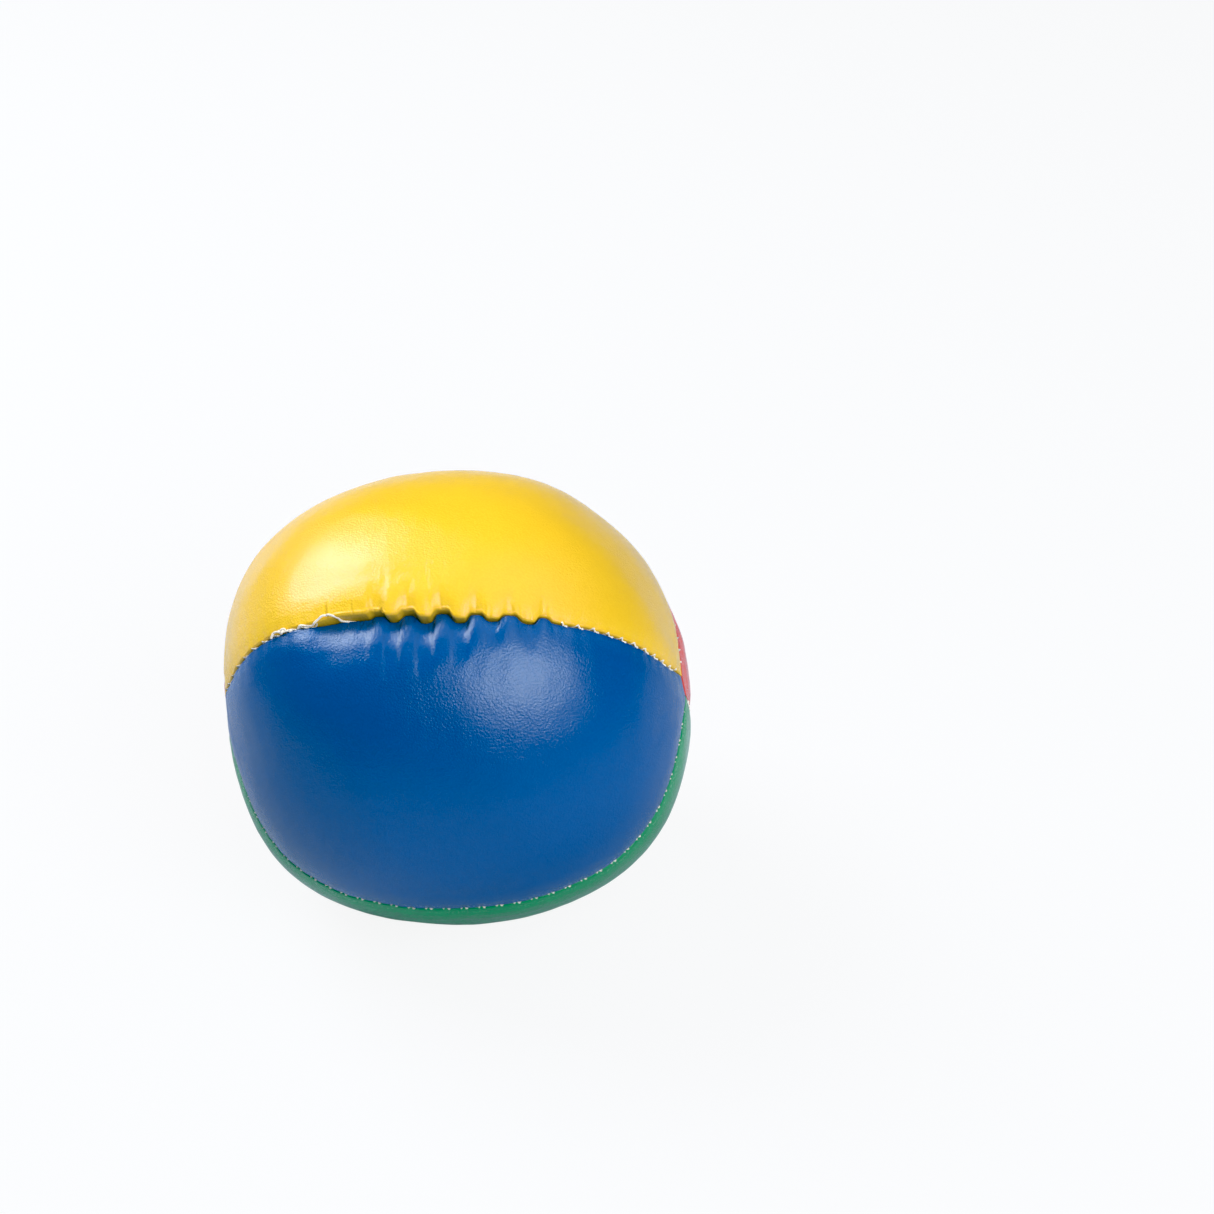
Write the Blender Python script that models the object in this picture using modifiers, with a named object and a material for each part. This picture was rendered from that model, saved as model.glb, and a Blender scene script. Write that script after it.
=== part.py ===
"""Beanbag juggling ball: four leatherette panels sewn pole to pole and filled with millet.

The line between the two poles, where the four panels meet, runs along X. The ball stands on
its green panel with the blue panel to the front (-Y) and the yellow one on top (+Z). The
origin is the middle of the flat that the resting ball has pressed under itself. Lengths are
in metres. Angles around the pole axis start at the front and rise over the top.
"""

import math

import bmesh
import bpy
from mathutils import Vector

# Overall sizes of the resting ball.
BALL_LENGTH = 0.0630        # pole to pole
BALL_GIRTH = 0.0606         # across two facing panels, crown to crown
SETTLING = 0.0024           # how far the ball has sunk under its own weight
SETTLING_BEND = 0.0012      # height over which the flat base bends up into the side
LENGTH_FULLNESS = 2.28      # 2 is an ellipse from pole to pole, more is fuller
GIRTH_SQUARENESS = 2.2      # 2 is a round girth, more lifts the seams into soft corners
BALL_TURN = math.radians(12.5)      # the blue panel's crown above the horizontal

# The cover's leatherette and the way its edges are sewn.
LEATHER = 0.0010            # thickness of the leatherette
FOLD_EASE = 0.0002          # inside radius where a panel turns in at a seam
SEAM_ALLOWANCE = 0.0040     # how deep a panel's edge reaches inside the seam
SEAM_GAP = 0.0003           # between the two edges that face each other in a seam
TIP_CLEARANCE = 0.0002      # between a panel's tip and the edges of the seam across it

# The threads.
THREAD_RADIUS = 0.00015
THREAD_DEPTH = 0.00015      # thread's middle below the top of the seam
MACHINE_PITCH = 0.0023      # one machine stitch
MACHINE_SWING = 0.00008     # how far a machine stitch swings to either side of the seam
HAND_PITCH = 0.00225        # one pass of the hand-closing thread across the seam
HAND_SWING = 0.00018
THREAD_ROOM = 0.0004        # between a thread's end and whatever is next on its seam
CLOSING_START = -0.0170     # the filling hole in the yellow-blue seam, along X
CLOSING_END = 0.0123
KNOT_RADIUS = 0.00030       # middle of the thread that is wound into the finishing knot
KNOT_LIFT = 0.00045         # knot's middle above the top of the seam
KNOT_TURNS = 2.5
KNOT_PITCH = 0.00040

# The millet.
FILLING_CLEARANCE = 0.0003

# How finely the curved pieces are drawn.
PANEL_STATIONS = 25         # steps along a panel, an odd number so that one lies on the base
CROWN_STEPS = 8             # steps across a panel's crown
FOLD_STEPS = 2              # steps round each turned-in edge
SEAM_SAMPLES = 600
KNOT_STEPS = 8              # points in one turn of the knot
FILLING_SLICES = 36
FILLING_RINGS = 24

FOLD_RADIUS = LEATHER + FOLD_EASE
FOLD_OFFSET = SEAM_GAP / 2 + FOLD_RADIUS
TIP_REACH = FOLD_OFFSET + TIP_CLEARANCE

# Name, angle of the crown, colour, roughness.
PANELS = (
    ("blue_panel", BALL_TURN, (0.004, 0.090, 0.340, 1.0), 0.36),
    ("yellow_panel", BALL_TURN + math.radians(90), (0.960, 0.650, 0.030, 1.0), 0.38),
    ("red_panel", BALL_TURN + math.radians(180), (0.740, 0.075, 0.040, 1.0), 0.38),
    ("green_panel", BALL_TURN + math.radians(270), (0.004, 0.290, 0.115, 1.0), 0.38),
)
HALF_PANEL = math.radians(45)
YELLOW_BLUE_SEAM = BALL_TURN + HALF_PANEL
RED_YELLOW_SEAM = YELLOW_BLUE_SEAM + math.radians(90)
GREEN_RED_SEAM = YELLOW_BLUE_SEAM + math.radians(180)
BLUE_GREEN_SEAM = YELLOW_BLUE_SEAM + math.radians(270)


# ---------------------------------------------------------------- scene and materials

def clear_scene():
    """Remove whatever the file opened with."""
    for scene_object in list(bpy.data.objects):
        bpy.data.objects.remove(scene_object, do_unlink=True)


def new_collection(name):
    collection = bpy.data.collections.new(name)
    bpy.context.scene.collection.children.link(collection)
    return collection


def new_material(name, colour, roughness):
    """A plain Principled material; none of the ball's materials is metallic."""
    material = bpy.data.materials.new(name)
    material.use_nodes = True
    shader = material.node_tree.nodes["Principled BSDF"]
    shader.inputs["Base Color"].default_value = colour
    shader.inputs["Roughness"].default_value = roughness
    shader.inputs["Metallic"].default_value = 0.0
    material.diffuse_color = colour
    return material


def new_object(name, data, collection, material=None):
    part = bpy.data.objects.new(name, data)
    collection.objects.link(part)
    if material is not None:
        data.materials.append(material)
    return part


def mesh_from(shape, name):
    """Turn a finished bmesh into a smooth-shaded mesh."""
    mesh = bpy.data.meshes.new(name)
    shape.to_mesh(mesh)
    shape.free()
    mesh.shade_smooth()
    return mesh


# ---------------------------------------------------------------- the ball's form

def corner_factor(angle):
    """How much further than a crown the cover stands from the pole axis at an angle."""
    turn = angle - BALL_TURN
    power = GIRTH_SQUARENESS
    return (abs(math.cos(turn)) ** power + abs(math.sin(turn)) ** power) ** (-1 / power)


def reach_down():
    """Distance from the pole axis to the lowest point of the ball before it settles."""
    power = GIRTH_SQUARENESS / (GIRTH_SQUARENESS - 1)
    spread = abs(math.cos(BALL_TURN)) ** power + abs(math.sin(BALL_TURN)) ** power
    return BALL_GIRTH / 2 * spread ** (1 / power)


AXIS_HEIGHT = reach_down() - SETTLING


def settle(height, floor):
    """Flatten whatever would sink below the floor, with a smooth bend at the flat's rim."""
    above = height - floor
    if above >= SETTLING_BEND:
        return height
    if above <= -SETTLING_BEND:
        return floor
    return floor + (above + SETTLING_BEND) ** 2 / (4 * SETTLING_BEND)


def along_and_out(t, depth=0.0):
    """Place along X, and share of the girth's radius, from one pole (t=0) to the other (pi)."""
    power = 2 / LENGTH_FULLNESS
    along = (BALL_LENGTH / 2 - depth) * math.copysign(abs(math.cos(t)) ** power, math.cos(t))
    return along, math.sin(t) ** power


def ring_radius(t, angle, depth=0.0):
    return (BALL_GIRTH / 2 - depth) * corner_factor(angle) * along_and_out(t)[1]


def form_point(t, angle, depth=0.0):
    """A point of the ball's form, or of the same form drawn smaller by a depth."""
    along = along_and_out(t, depth)[0]
    radius = ring_radius(t, angle, depth)
    height = AXIS_HEIGHT + radius * math.sin(angle)
    return Vector((along, -radius * math.cos(angle), settle(height, depth)))


def outward(angle):
    """Straight out from the pole axis at an angle."""
    return Vector((0.0, -math.cos(angle), math.sin(angle)))


def seam_frame(t, angle):
    """A seam's point, its outward normal in the seam's plane and the way across the seam."""
    step = 1e-4
    before = Vector(along_and_out(t - step))
    after = Vector(along_and_out(t + step))
    girth = BALL_GIRTH / 2 * corner_factor(angle)
    run_along = after.x - before.x
    run_out = (after.y - before.y) * girth
    normal = Vector((run_out, 0, 0)) - outward(angle) * run_along
    across = Vector((0.0, math.sin(angle), math.cos(angle)))
    point = Vector((along_and_out(t)[0], 0.0, AXIS_HEIGHT)) + outward(angle) * ring_radius(t, angle)
    return point, normal.normalized(), across


def t_at_radius(radius, angle):
    """Where along the ball a seam is this far from the pole axis."""
    share = radius / (BALL_GIRTH / 2 * corner_factor(angle))
    return math.asin(share ** (LENGTH_FULLNESS / 2))


# ---------------------------------------------------------------- cover

def edge_strip(t, angle, side):
    """The turned-in edge of a panel at one station, from its raw edge to the top of the fold.

    side is +1 where the panel lies above its seam and -1 where it lies below.
    """
    seam_radius = ring_radius(t, angle)
    fold_radial = math.sqrt(seam_radius ** 2 - FOLD_OFFSET ** 2)
    point, normal, across = seam_frame(t, angle)
    point = point + outward(angle) * (fold_radial - seam_radius)
    inward = across * side
    strip = [point + inward * (SEAM_GAP / 2) - normal * SEAM_ALLOWANCE]
    centre = point + inward * FOLD_OFFSET - normal * FOLD_RADIUS
    for step in range(FOLD_STEPS):
        turn = math.radians(90) * step / FOLD_STEPS
        strip.append(centre + (normal * math.sin(turn) - inward * math.cos(turn)) * FOLD_RADIUS)
    return strip


def panel_station(t, crown_angle):
    """One line of points across a panel, from raw edge to raw edge."""
    low = crown_angle - HALF_PANEL
    high = crown_angle + HALF_PANEL
    fold_turn = math.asin(FOLD_OFFSET / ring_radius(t, low))
    crown_low = low + fold_turn
    crown_high = high - fold_turn
    line = edge_strip(t, low, 1)
    for step in range(CROWN_STEPS + 1):
        line.append(form_point(t, crown_low + (crown_high - crown_low) * step / CROWN_STEPS))
    line.extend(reversed(edge_strip(t, high, -1)))
    return line


def make_panel(name, crown_angle, colour, roughness, collection):
    """A leaf of leatherette from pole to pole whose long edges turn in to be sewn."""
    tip_radius = math.hypot(TIP_REACH, FOLD_OFFSET)
    tip = t_at_radius(tip_radius, crown_angle - HALF_PANEL)
    across_steps = CROWN_STEPS + 2 * (FOLD_STEPS + 1)
    shape = bmesh.new()
    bmesh.ops.create_grid(shape, x_segments=PANEL_STATIONS, y_segments=across_steps, size=0.5)
    lines = []
    for station in range(PANEL_STATIONS + 1):
        t = math.pi - tip - (math.pi - 2 * tip) * station / PANEL_STATIONS
        lines.append(panel_station(t, crown_angle))
    for vertex in shape.verts:
        station = round((vertex.co.x + 0.5) * PANEL_STATIONS)
        step = round((vertex.co.y + 0.5) * across_steps)
        vertex.co = lines[station][step]
    panel = new_object(name, mesh_from(shape, name), collection,
                       new_material(name.replace("panel", "leatherette"), colour, roughness))
    thickness = panel.modifiers.new("leather thickness", "SOLIDIFY")
    thickness.thickness = LEATHER
    thickness.offset = -1.0
    return panel


# ---------------------------------------------------------------- threads

def seam_walk(angle):
    """Distance walked along a seam at evenly spaced places from the -X pole to the +X pole."""
    start = t_at_radius(TIP_REACH + THREAD_ROOM, angle)
    places = [math.pi - start - (math.pi - 2 * start) * n / SEAM_SAMPLES
              for n in range(SEAM_SAMPLES + 1)]
    points = [seam_frame(t, angle)[0] for t in places]
    walked = [0.0]
    for first, second in zip(points, points[1:]):
        walked.append(walked[-1] + (second - first).length)
    return places, points, walked


def stitch_route(angle, start_x, end_x, pitch, swing):
    """Points of a thread that swings from side to side of its seam, one for each stitch."""
    places, points, walked = seam_walk(angle)
    stretch = [n for n, point in enumerate(points) if start_x <= point.x <= end_x]
    first = walked[stretch[0]]
    length = walked[stretch[-1]] - first
    stitches = max(2, round(length / pitch))
    route = []
    n = stretch[0]
    for stitch in range(stitches + 1):
        while n < stretch[-1] and walked[n] < first + length * stitch / stitches:
            n += 1
        point, normal, across = seam_frame(places[n], angle)
        side = swing if stitch % 2 else -swing
        route.append(point - normal * THREAD_DEPTH + across * side)
    return route


def knot_route(angle, knot_x):
    """A few turns of thread wound round the seam's line, ending where the stitches begin."""
    places, points, walked = seam_walk(angle)
    n = next(index for index, point in enumerate(points) if point.x >= knot_x)
    point, normal, across = seam_frame(places[n], angle)
    along = (points[n + 1] - points[n]).normalized()
    steps = round(KNOT_TURNS * KNOT_STEPS)
    route = []
    for step in range(steps + 1):
        turn = math.radians(360) * step / KNOT_STEPS
        back = along * (KNOT_PITCH * (steps - step) / KNOT_STEPS)
        ring = normal * math.cos(turn) + across * math.sin(turn)
        route.append(point - back + normal * KNOT_LIFT + ring * KNOT_RADIUS)
    return route


def make_thread(name, route, material, collection):
    """A round thread along a route, with closed ends."""
    curve = bpy.data.curves.new(name, "CURVE")
    curve.dimensions = "3D"
    curve.bevel_depth = THREAD_RADIUS
    curve.bevel_resolution = 2
    curve.use_fill_caps = True
    spline = curve.splines.new("POLY")
    spline.points.add(len(route) - 1)
    for spline_point, place in zip(spline.points, route):
        spline_point.co = (*place, 1.0)
    return new_object(name, curve, collection, material)


def make_threads(collection):
    """Three machine-sewn seams, and the fourth with its hand-sewn closing in the middle."""
    cotton = new_material("seam_thread", (0.86, 0.82, 0.72, 1.0), 0.75)
    whole = BALL_LENGTH / 2
    for name, angle in (("seam_thread_blue_green", BLUE_GREEN_SEAM),
                        ("seam_thread_green_red", GREEN_RED_SEAM),
                        ("seam_thread_red_yellow", RED_YELLOW_SEAM)):
        route = stitch_route(angle, -whole, whole, MACHINE_PITCH, MACHINE_SWING)
        make_thread(name, route, cotton, collection)
    knot_length = KNOT_TURNS * KNOT_PITCH
    left_end = CLOSING_START - knot_length - 2 * THREAD_RADIUS - THREAD_ROOM
    left = stitch_route(YELLOW_BLUE_SEAM, -whole, left_end, MACHINE_PITCH, MACHINE_SWING)
    make_thread("seam_thread_yellow_blue_left", left, cotton, collection)
    right_start = CLOSING_END + 2 * THREAD_RADIUS + THREAD_ROOM
    right = stitch_route(YELLOW_BLUE_SEAM, right_start, whole, MACHINE_PITCH, MACHINE_SWING)
    make_thread("seam_thread_yellow_blue_right", right, cotton, collection)
    closing = knot_route(YELLOW_BLUE_SEAM, CLOSING_START)
    closing += stitch_route(YELLOW_BLUE_SEAM, CLOSING_START + KNOT_PITCH, CLOSING_END,
                            HAND_PITCH, HAND_SWING)
    make_thread("closing_thread", closing, cotton, collection)


# ---------------------------------------------------------------- filling

def form_solid(name, depth):
    """The ball's whole form, drawn smaller by a depth, from a sphere with poles on X.

    Its lines from pole to pole keep half a slice clear of the panels' crowns, so that none
    lies along an edge that the seams' slabs cut.
    """
    turned = BALL_TURN + math.pi / FILLING_SLICES
    shape = bmesh.new()
    bmesh.ops.create_uvsphere(shape, u_segments=FILLING_SLICES, v_segments=FILLING_RINGS,
                              radius=1.0)
    for vertex in shape.verts:
        t = math.acos(max(-1.0, min(1.0, vertex.co.z)))
        angle = math.atan2(vertex.co.y, -vertex.co.x) + turned
        vertex.co = form_point(t, angle, depth)
    return mesh_from(shape, name)


def add_boolean(part, tool, operation):
    step = part.modifiers.new(operation.lower() + " " + tool.name, "BOOLEAN")
    step.operation = operation
    step.solver = "EXACT"
    step.object = tool


def new_tool(name, mesh, tools):
    """A shape that only cuts or joins others, and isn't a piece of the ball."""
    tool = new_object(name, mesh, tools)
    tool.hide_render = True
    tool.display_type = "WIRE"
    return tool


def make_seam_slab(name, angle, tools):
    """The room that two facing seams' turned-in edges need, as a slab right through the ball."""
    half_width = SEAM_GAP / 2 + LEATHER + FILLING_CLEARANCE
    shape = bmesh.new()
    bmesh.ops.create_cube(shape, size=1.0)
    bmesh.ops.scale(shape, vec=(2 * BALL_LENGTH, 2 * BALL_GIRTH, 2 * half_width),
                    verts=shape.verts)
    slab = new_tool(name, mesh_from(shape, name), tools)
    slab.data.shade_flat()
    slab.rotation_euler = (-angle, 0.0, 0.0)
    slab.location = (0.0, 0.0, AXIS_HEIGHT)
    return slab


def make_filling(collection, tools):
    """The packed millet, one body: four quarters that part where the seam allowances press in,
    on a core that reaches to just below those allowances."""
    material = new_material("millet", (0.62, 0.42, 0.16, 1.0), 0.6)
    quarters = form_solid("millet_filling", LEATHER + FILLING_CLEARANCE)
    filling = new_object("millet_filling", quarters, collection, material)
    for name, angle in (("slab_yellow_blue", YELLOW_BLUE_SEAM),
                        ("slab_blue_green", BLUE_GREEN_SEAM)):
        add_boolean(filling, make_seam_slab(name, angle, tools), "DIFFERENCE")
    core = form_solid("filling_core", SEAM_ALLOWANCE + FILLING_CLEARANCE)
    add_boolean(filling, new_tool("filling_core", core, tools), "UNION")
    return filling


def main():
    clear_scene()
    ball = new_collection("juggling_ball")
    tools = new_collection("cutters")
    for name, crown_angle, colour, roughness in PANELS:
        make_panel(name, crown_angle, colour, roughness, ball)
    make_threads(ball)
    make_filling(ball, tools)


main()
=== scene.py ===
# %% [markdown]
# # A sewn juggling ball
#
# This lesson builds a soft juggling ball the way a workshop does: four leaves of
# leatherette are sewn edge to edge from pole to pole, the skin is turned right side out
# through a hole in the last seam, filled with millet, and the hole is closed by hand.
#
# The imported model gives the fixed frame. X runs from pole to pole, -Y is the front, Z is
# up, and the ball stands on its green panel. Lengths are in metres.

# %% Load the frame
import math

import bmesh
import bpy
import numpy as np
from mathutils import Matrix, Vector


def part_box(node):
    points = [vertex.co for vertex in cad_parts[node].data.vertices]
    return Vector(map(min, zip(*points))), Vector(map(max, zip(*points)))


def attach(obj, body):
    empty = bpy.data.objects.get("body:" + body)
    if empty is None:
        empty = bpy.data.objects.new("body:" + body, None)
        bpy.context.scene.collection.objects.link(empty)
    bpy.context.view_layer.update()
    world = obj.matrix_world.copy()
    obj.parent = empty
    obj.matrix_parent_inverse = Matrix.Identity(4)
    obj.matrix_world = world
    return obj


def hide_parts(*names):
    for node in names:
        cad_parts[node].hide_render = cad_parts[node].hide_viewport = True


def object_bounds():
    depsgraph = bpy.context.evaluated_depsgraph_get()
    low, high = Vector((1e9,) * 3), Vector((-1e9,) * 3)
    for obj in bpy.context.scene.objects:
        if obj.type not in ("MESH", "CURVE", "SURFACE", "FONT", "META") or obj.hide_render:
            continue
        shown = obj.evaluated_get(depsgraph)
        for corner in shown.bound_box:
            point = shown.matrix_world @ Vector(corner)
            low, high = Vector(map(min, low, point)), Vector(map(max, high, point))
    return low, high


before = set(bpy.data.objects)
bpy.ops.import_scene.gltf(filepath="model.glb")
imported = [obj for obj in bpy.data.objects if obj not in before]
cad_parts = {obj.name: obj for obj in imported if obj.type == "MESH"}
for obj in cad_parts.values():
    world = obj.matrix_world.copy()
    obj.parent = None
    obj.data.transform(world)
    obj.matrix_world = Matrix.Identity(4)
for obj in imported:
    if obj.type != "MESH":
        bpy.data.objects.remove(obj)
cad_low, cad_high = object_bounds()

MM = 0.001
print("frame box, mm:", [round(v / MM, 1) for v in (*cad_low, *cad_high)])

# %% [markdown]
# ## The form of the ball
#
# A sphere primitive would be too regular: a sewn ball is fuller than a sphere between its
# poles, and its seams lift into soft corners. Both are a superellipse, a curve like an
# ellipse with another exponent than 2, so the form is written as a formula. A point is
# found from `t`, which runs from the right pole (0) to the left pole (pi), and from
# `across`, which runs over one panel from its lower seam (0) to its upper seam (1).
#
# The millet has moved a little, as it does in any ball that has been thrown: the seams
# meet a little in front of and above the two ends, they bow on their way, and the skin
# has a few broad bulges and hollows. These are named values too.

# %% Sizes of the form
HALF_LENGTH = (cad_high.x - cad_low.x) / 2
SETTLING = 2.4 * MM                 # how far the ball has sunk under its own weight
SETTLING_BEND = 1.2 * MM            # height over which the flat base bends up
AXIS_HEIGHT = (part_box("yellow_panel")[1].z - SETTLING) / 2
CROWN_RADIUS = 30.35 * MM
LENGTH_FULLNESS = 2.29
GIRTH_SQUARENESS = 2.2
RIGHT_FULLER = 0.010                # share by which the right end's girth gains on the left's
LEAN = 0.050                        # sideways slip of the top over the base

# Each seam's angle round the pole axis, from the front upwards, in degrees: the angle near
# the poles, then the waves it makes on its way, from one half wave to five.
SEAMS = {
    "blue_green": (-30.4, 3.6, 1.5, -0.7, -0.4, -0.4),
    "yellow_blue": (62.0, -6.8, -0.4, -0.6, -0.4, -0.4),
    "red_yellow": (146.0, 1.5, -0.8, 0.0, 0.0, 0.0),
    "green_red": (237.0, 1.0, 1.2, 0.0, 0.0, 0.0),
}
# Each panel lies above the first of its seams and below the second.
PANELS = {
    "blue": ("blue_green", "yellow_blue"),
    "yellow": ("yellow_blue", "red_yellow"),
    "red": ("red_yellow", "green_red"),
    "green": ("green_red", "blue_green"),
}
# Where the seams meet, to the front of and above the ball's two ends.
RIGHT_MEETING = np.array([0.0, -5.6, 6.0]) * MM
LEFT_MEETING = np.array([0.0, -7.1, 3.8]) * MM
MEETING_FADE = 30.0 * MM            # ring radius from which the seams are on course
TIP_SPREAD_FADE = 9.0 * MM          # the same for the small gap between the four tips

# Bulges and hollows: a place on the skin, as X, Y and height over the axis, and how far
# the skin stands out there, all in millimetres.
BULGES = (
    (30.2, -2.2, 1.5, 0.32),
    (27.4, 5.0, 12.0, -0.32),
    (19.4, 10.9, 20.5, -0.68),
    (7.8, 14.4, 25.5, 0.61),
    (-26.1, 6.4, 13.9, 0.60),
    (-30.1, -0.7, 3.7, 0.06),
    (-28.4, -8.1, -6.9, -0.36),
    (-21.3, -14.4, -16.0, 1.09),
    (-10.3, -18.4, -21.8, 0.08),
    (2.6, -19.4, -23.2, 0.10),
    (15.1, -17.1, -19.9, -0.97),
    (26.1, -10.8, -10.8, -0.21),
)
BULGE_WIDTH = 12.0 * MM

# %% The form as a formula
def smoothstep(low, high, value):
    """0 below low, 1 above high, and a smooth ramp between."""
    share = np.clip((value - low) / (high - low), 0.0, 1.0)
    return share * share * (3 - 2 * share)


def along(t):
    """Share of the half length, 1 at the right pole and -1 at the left."""
    return np.sign(np.cos(t)) * np.abs(np.cos(t)) ** (2 / LENGTH_FULLNESS)


def full_radius(t):
    """Radius of the widest ring, which grows slightly towards the fuller end."""
    return CROWN_RADIUS * (1 + RIGHT_FULLER * along(t))


def ring_radius(t):
    """Distance from the pole axis to a panel's crown."""
    return full_radius(t) * np.abs(np.sin(t)) ** (2 / LENGTH_FULLNESS)


def corner_factor(across):
    """How much further than the crown the form stands out towards the seams."""
    turn = np.radians(90 * across - 45)
    power = GIRTH_SQUARENESS
    return (np.abs(np.cos(turn)) ** power + np.abs(np.sin(turn)) ** power) ** (-1 / power)


def seam_angle(seam, t):
    base, *bows = SEAMS[seam]
    return np.radians(base + sum(bow * np.sin((n + 1) * t) for n, bow in enumerate(bows)))


def panel_angle(panel, t, across):
    lower, upper = PANELS[panel]
    low, high = seam_angle(lower, t), seam_angle(upper, t)
    high = high + (2 * math.pi if panel == "green" else 0.0)
    return low + (high - low) * across


def outward(angle):
    """Unit vectors straight out from the pole axis."""
    return np.stack([np.zeros_like(angle), -np.cos(angle), np.sin(angle)], -1)


YELLOW_TIP = outward(np.radians(101.0)) * 1.48 * MM
GREEN_TIP = outward(np.radians(264.2)) * 1.36 * MM
TIPS_OF = {
    "blue": (GREEN_TIP, YELLOW_TIP),
    "yellow": (YELLOW_TIP, YELLOW_TIP),
    "red": (YELLOW_TIP, GREEN_TIP),
    "green": (GREEN_TIP, GREEN_TIP),
}


def settle(points):
    """Press the underside flat, with a smooth bend where it lifts, and let the top lean."""
    z = points[..., 2]
    bent = (z + SETTLING_BEND) ** 2 / (4 * SETTLING_BEND)
    flat = np.where(z >= SETTLING_BEND, z, np.where(z <= -SETTLING_BEND, 0.0, bent))
    x = points[..., 0] - LEAN * (flat - AXIS_HEIGHT)
    return np.stack([x, points[..., 1], flat], -1)


def unit(vectors):
    return vectors / np.maximum(np.linalg.norm(vectors, axis=-1, keepdims=True), 1e-12)


def bulge(points):
    """Move points straight out from the middle by the bulges round them."""
    middle = np.array([0.0, 0.0, AXIS_HEIGHT])
    height = np.zeros(points.shape[:-1])
    for x, y, z, stands_out in BULGES:
        apart = points - middle - np.array([x, y, z]) * MM
        height += stands_out * MM * np.exp(-np.sum(apart ** 2, -1) / BULGE_WIDTH ** 2)
    height *= smoothstep(0.0, 6.0 * MM, points[..., 2])
    return points + unit(points - middle) * height[..., None]


def form(panel, t, across):
    """Points of the ball's form, before any fold, seam or crease."""
    t, across = np.broadcast_arrays(np.asarray(t, float), np.asarray(across, float))
    radius = ring_radius(t)
    corner = corner_factor(across)
    out = outward(panel_angle(panel, t, across)) * (radius * corner)[..., None]
    lower_tip, upper_tip = TIPS_OF[panel]
    tip = lower_tip + (upper_tip - lower_tip) * across[..., None]
    meeting = np.where((np.cos(t) > 0)[..., None], RIGHT_MEETING, LEFT_MEETING)
    out = out + meeting * (1 - smoothstep(0.0, MEETING_FADE, radius))[..., None]
    out = out + tip * (1 - smoothstep(0.0, TIP_SPREAD_FADE, radius))[..., None]
    # The shifted point slides along the skin, so its place along the axis follows from
    # its new distance from the axis.
    share = np.clip(np.linalg.norm(out, axis=-1) / corner / full_radius(t), 0.0, 1.0)
    points = out + np.array([0.0, 0.0, AXIS_HEIGHT])
    rest = (1 - share ** LENGTH_FULLNESS) ** (1 / LENGTH_FULLNESS)
    points[..., 0] = np.sign(np.cos(t)) * HALF_LENGTH * rest
    return bulge(settle(points))


def form_normal(panel, t, across, step=1e-3):
    """Outward normals of the form, from two short walks over it."""
    over = form(panel, t, across + step) - form(panel, t, across - step)
    along_ball = form(panel, t + step, across) - form(panel, t - step, across)
    return unit(np.cross(over, along_ball))


print("form: length", round(2 * HALF_LENGTH / MM, 1), "mm")
print("form: axis at", round(AXIS_HEIGHT / MM, 1), "mm")

# %% [markdown]
# ## The seams as lines
#
# Everything that is sewn is placed by how far it is along its seam. A seam line is walked
# in small steps, the distance is added up, and the stitches share it out evenly: the
# leatherette's ripples and the thread then agree because both read the same walk.

# %% Walk each seam
SEAM_ENDS = 0.22 * MM               # a seam line stops this far from its tip
SEAM_STEPS = 1600
MACHINE_PITCH = 2.33 * MM
PANEL_ABOVE = {seams[0]: panel for panel, seams in PANELS.items()}
PANEL_BELOW = {seams[1]: panel for panel, seams in PANELS.items()}


def t_at_ring(radius, far_end=False):
    """Where the ring has this radius, near the right pole or near the left one."""
    share = radius / (CROWN_RADIUS * (1 + (-RIGHT_FULLER if far_end else RIGHT_FULLER)))
    t = math.asin(share ** (LENGTH_FULLNESS / 2))
    return math.pi - t if far_end else t


FIRST_T = t_at_ring(SEAM_ENDS)
LAST_T = t_at_ring(SEAM_ENDS, far_end=True)


def seam_basis(seam, t):
    """Point, outward normal and the way across, towards the panel above, at places t."""
    above, below = PANEL_ABOVE[seam], PANEL_BELOW[seam]
    point = form(above, t, 0.0)
    normal = unit(form_normal(above, t, 0.0) + form_normal(below, t, 1.0))
    run = unit(form(above, t + 1e-3, 0.0) - form(above, t - 1e-3, 0.0))
    return point, normal, unit(np.cross(run, normal))


class SeamWalk:
    """A seam line with the distance walked from the left pole at each of its places."""

    def __init__(self, name):
        self.t = np.linspace(LAST_T, FIRST_T, SEAM_STEPS)
        self.point = seam_basis(name, self.t)[0]
        steps = np.linalg.norm(np.diff(self.point, axis=0), axis=1)
        self.walked = np.concatenate([[0.0], np.cumsum(steps)])
        self.length = self.walked[-1]

    def distance(self, t):
        return np.interp(t, self.t[::-1], self.walked[::-1])

    def t_at(self, distance):
        return np.interp(distance, self.walked, self.t)

    def distance_at_x(self, x):
        return float(np.interp(x, self.point[:, 0], self.walked))


WALKS = {name: SeamWalk(name) for name in SEAMS}
print("seams, mm:", {name: round(walk.length / MM, 1) for name, walk in WALKS.items()})

# %% [markdown]
# ## What the sewing does to the leatherette
#
# A seam is more than a line. The edges roll over and dive between the panels, the edge
# allowances underneath lift a flat band on either side, every machine stitch pulls in a
# small dip, and the hand-closed stretch is gathered: there the seam itself swings from
# side to side and the leatherette puckers into short creases. Each effect is a small
# function of the distance along a seam and the distance from it, and gives a height.
# Sculpting could do this too, but a rule keeps the stitches and the ripples together.

# %% Sizes of the sewing
LEATHER = 0.95 * MM
FOLD_RADIUS = 0.40 * MM
SEAM_GAP = 0.20 * MM
ALLOWANCE = 4.0 * MM
FOLD_FULL_AT = 2.4 * MM             # ring radius from which the folds have their full size
CROSSING_SHARE = 0.27               # share of a machine stitch that shows across the groove
CLOSING = WALKS["yellow_blue"]
CLOSING_X = (-16.4 * MM, 14.2 * MM)  # the hand-sewn stretch of the yellow-blue seam
CLOSING_SPAN = [CLOSING.distance_at_x(x) for x in CLOSING_X]
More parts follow.
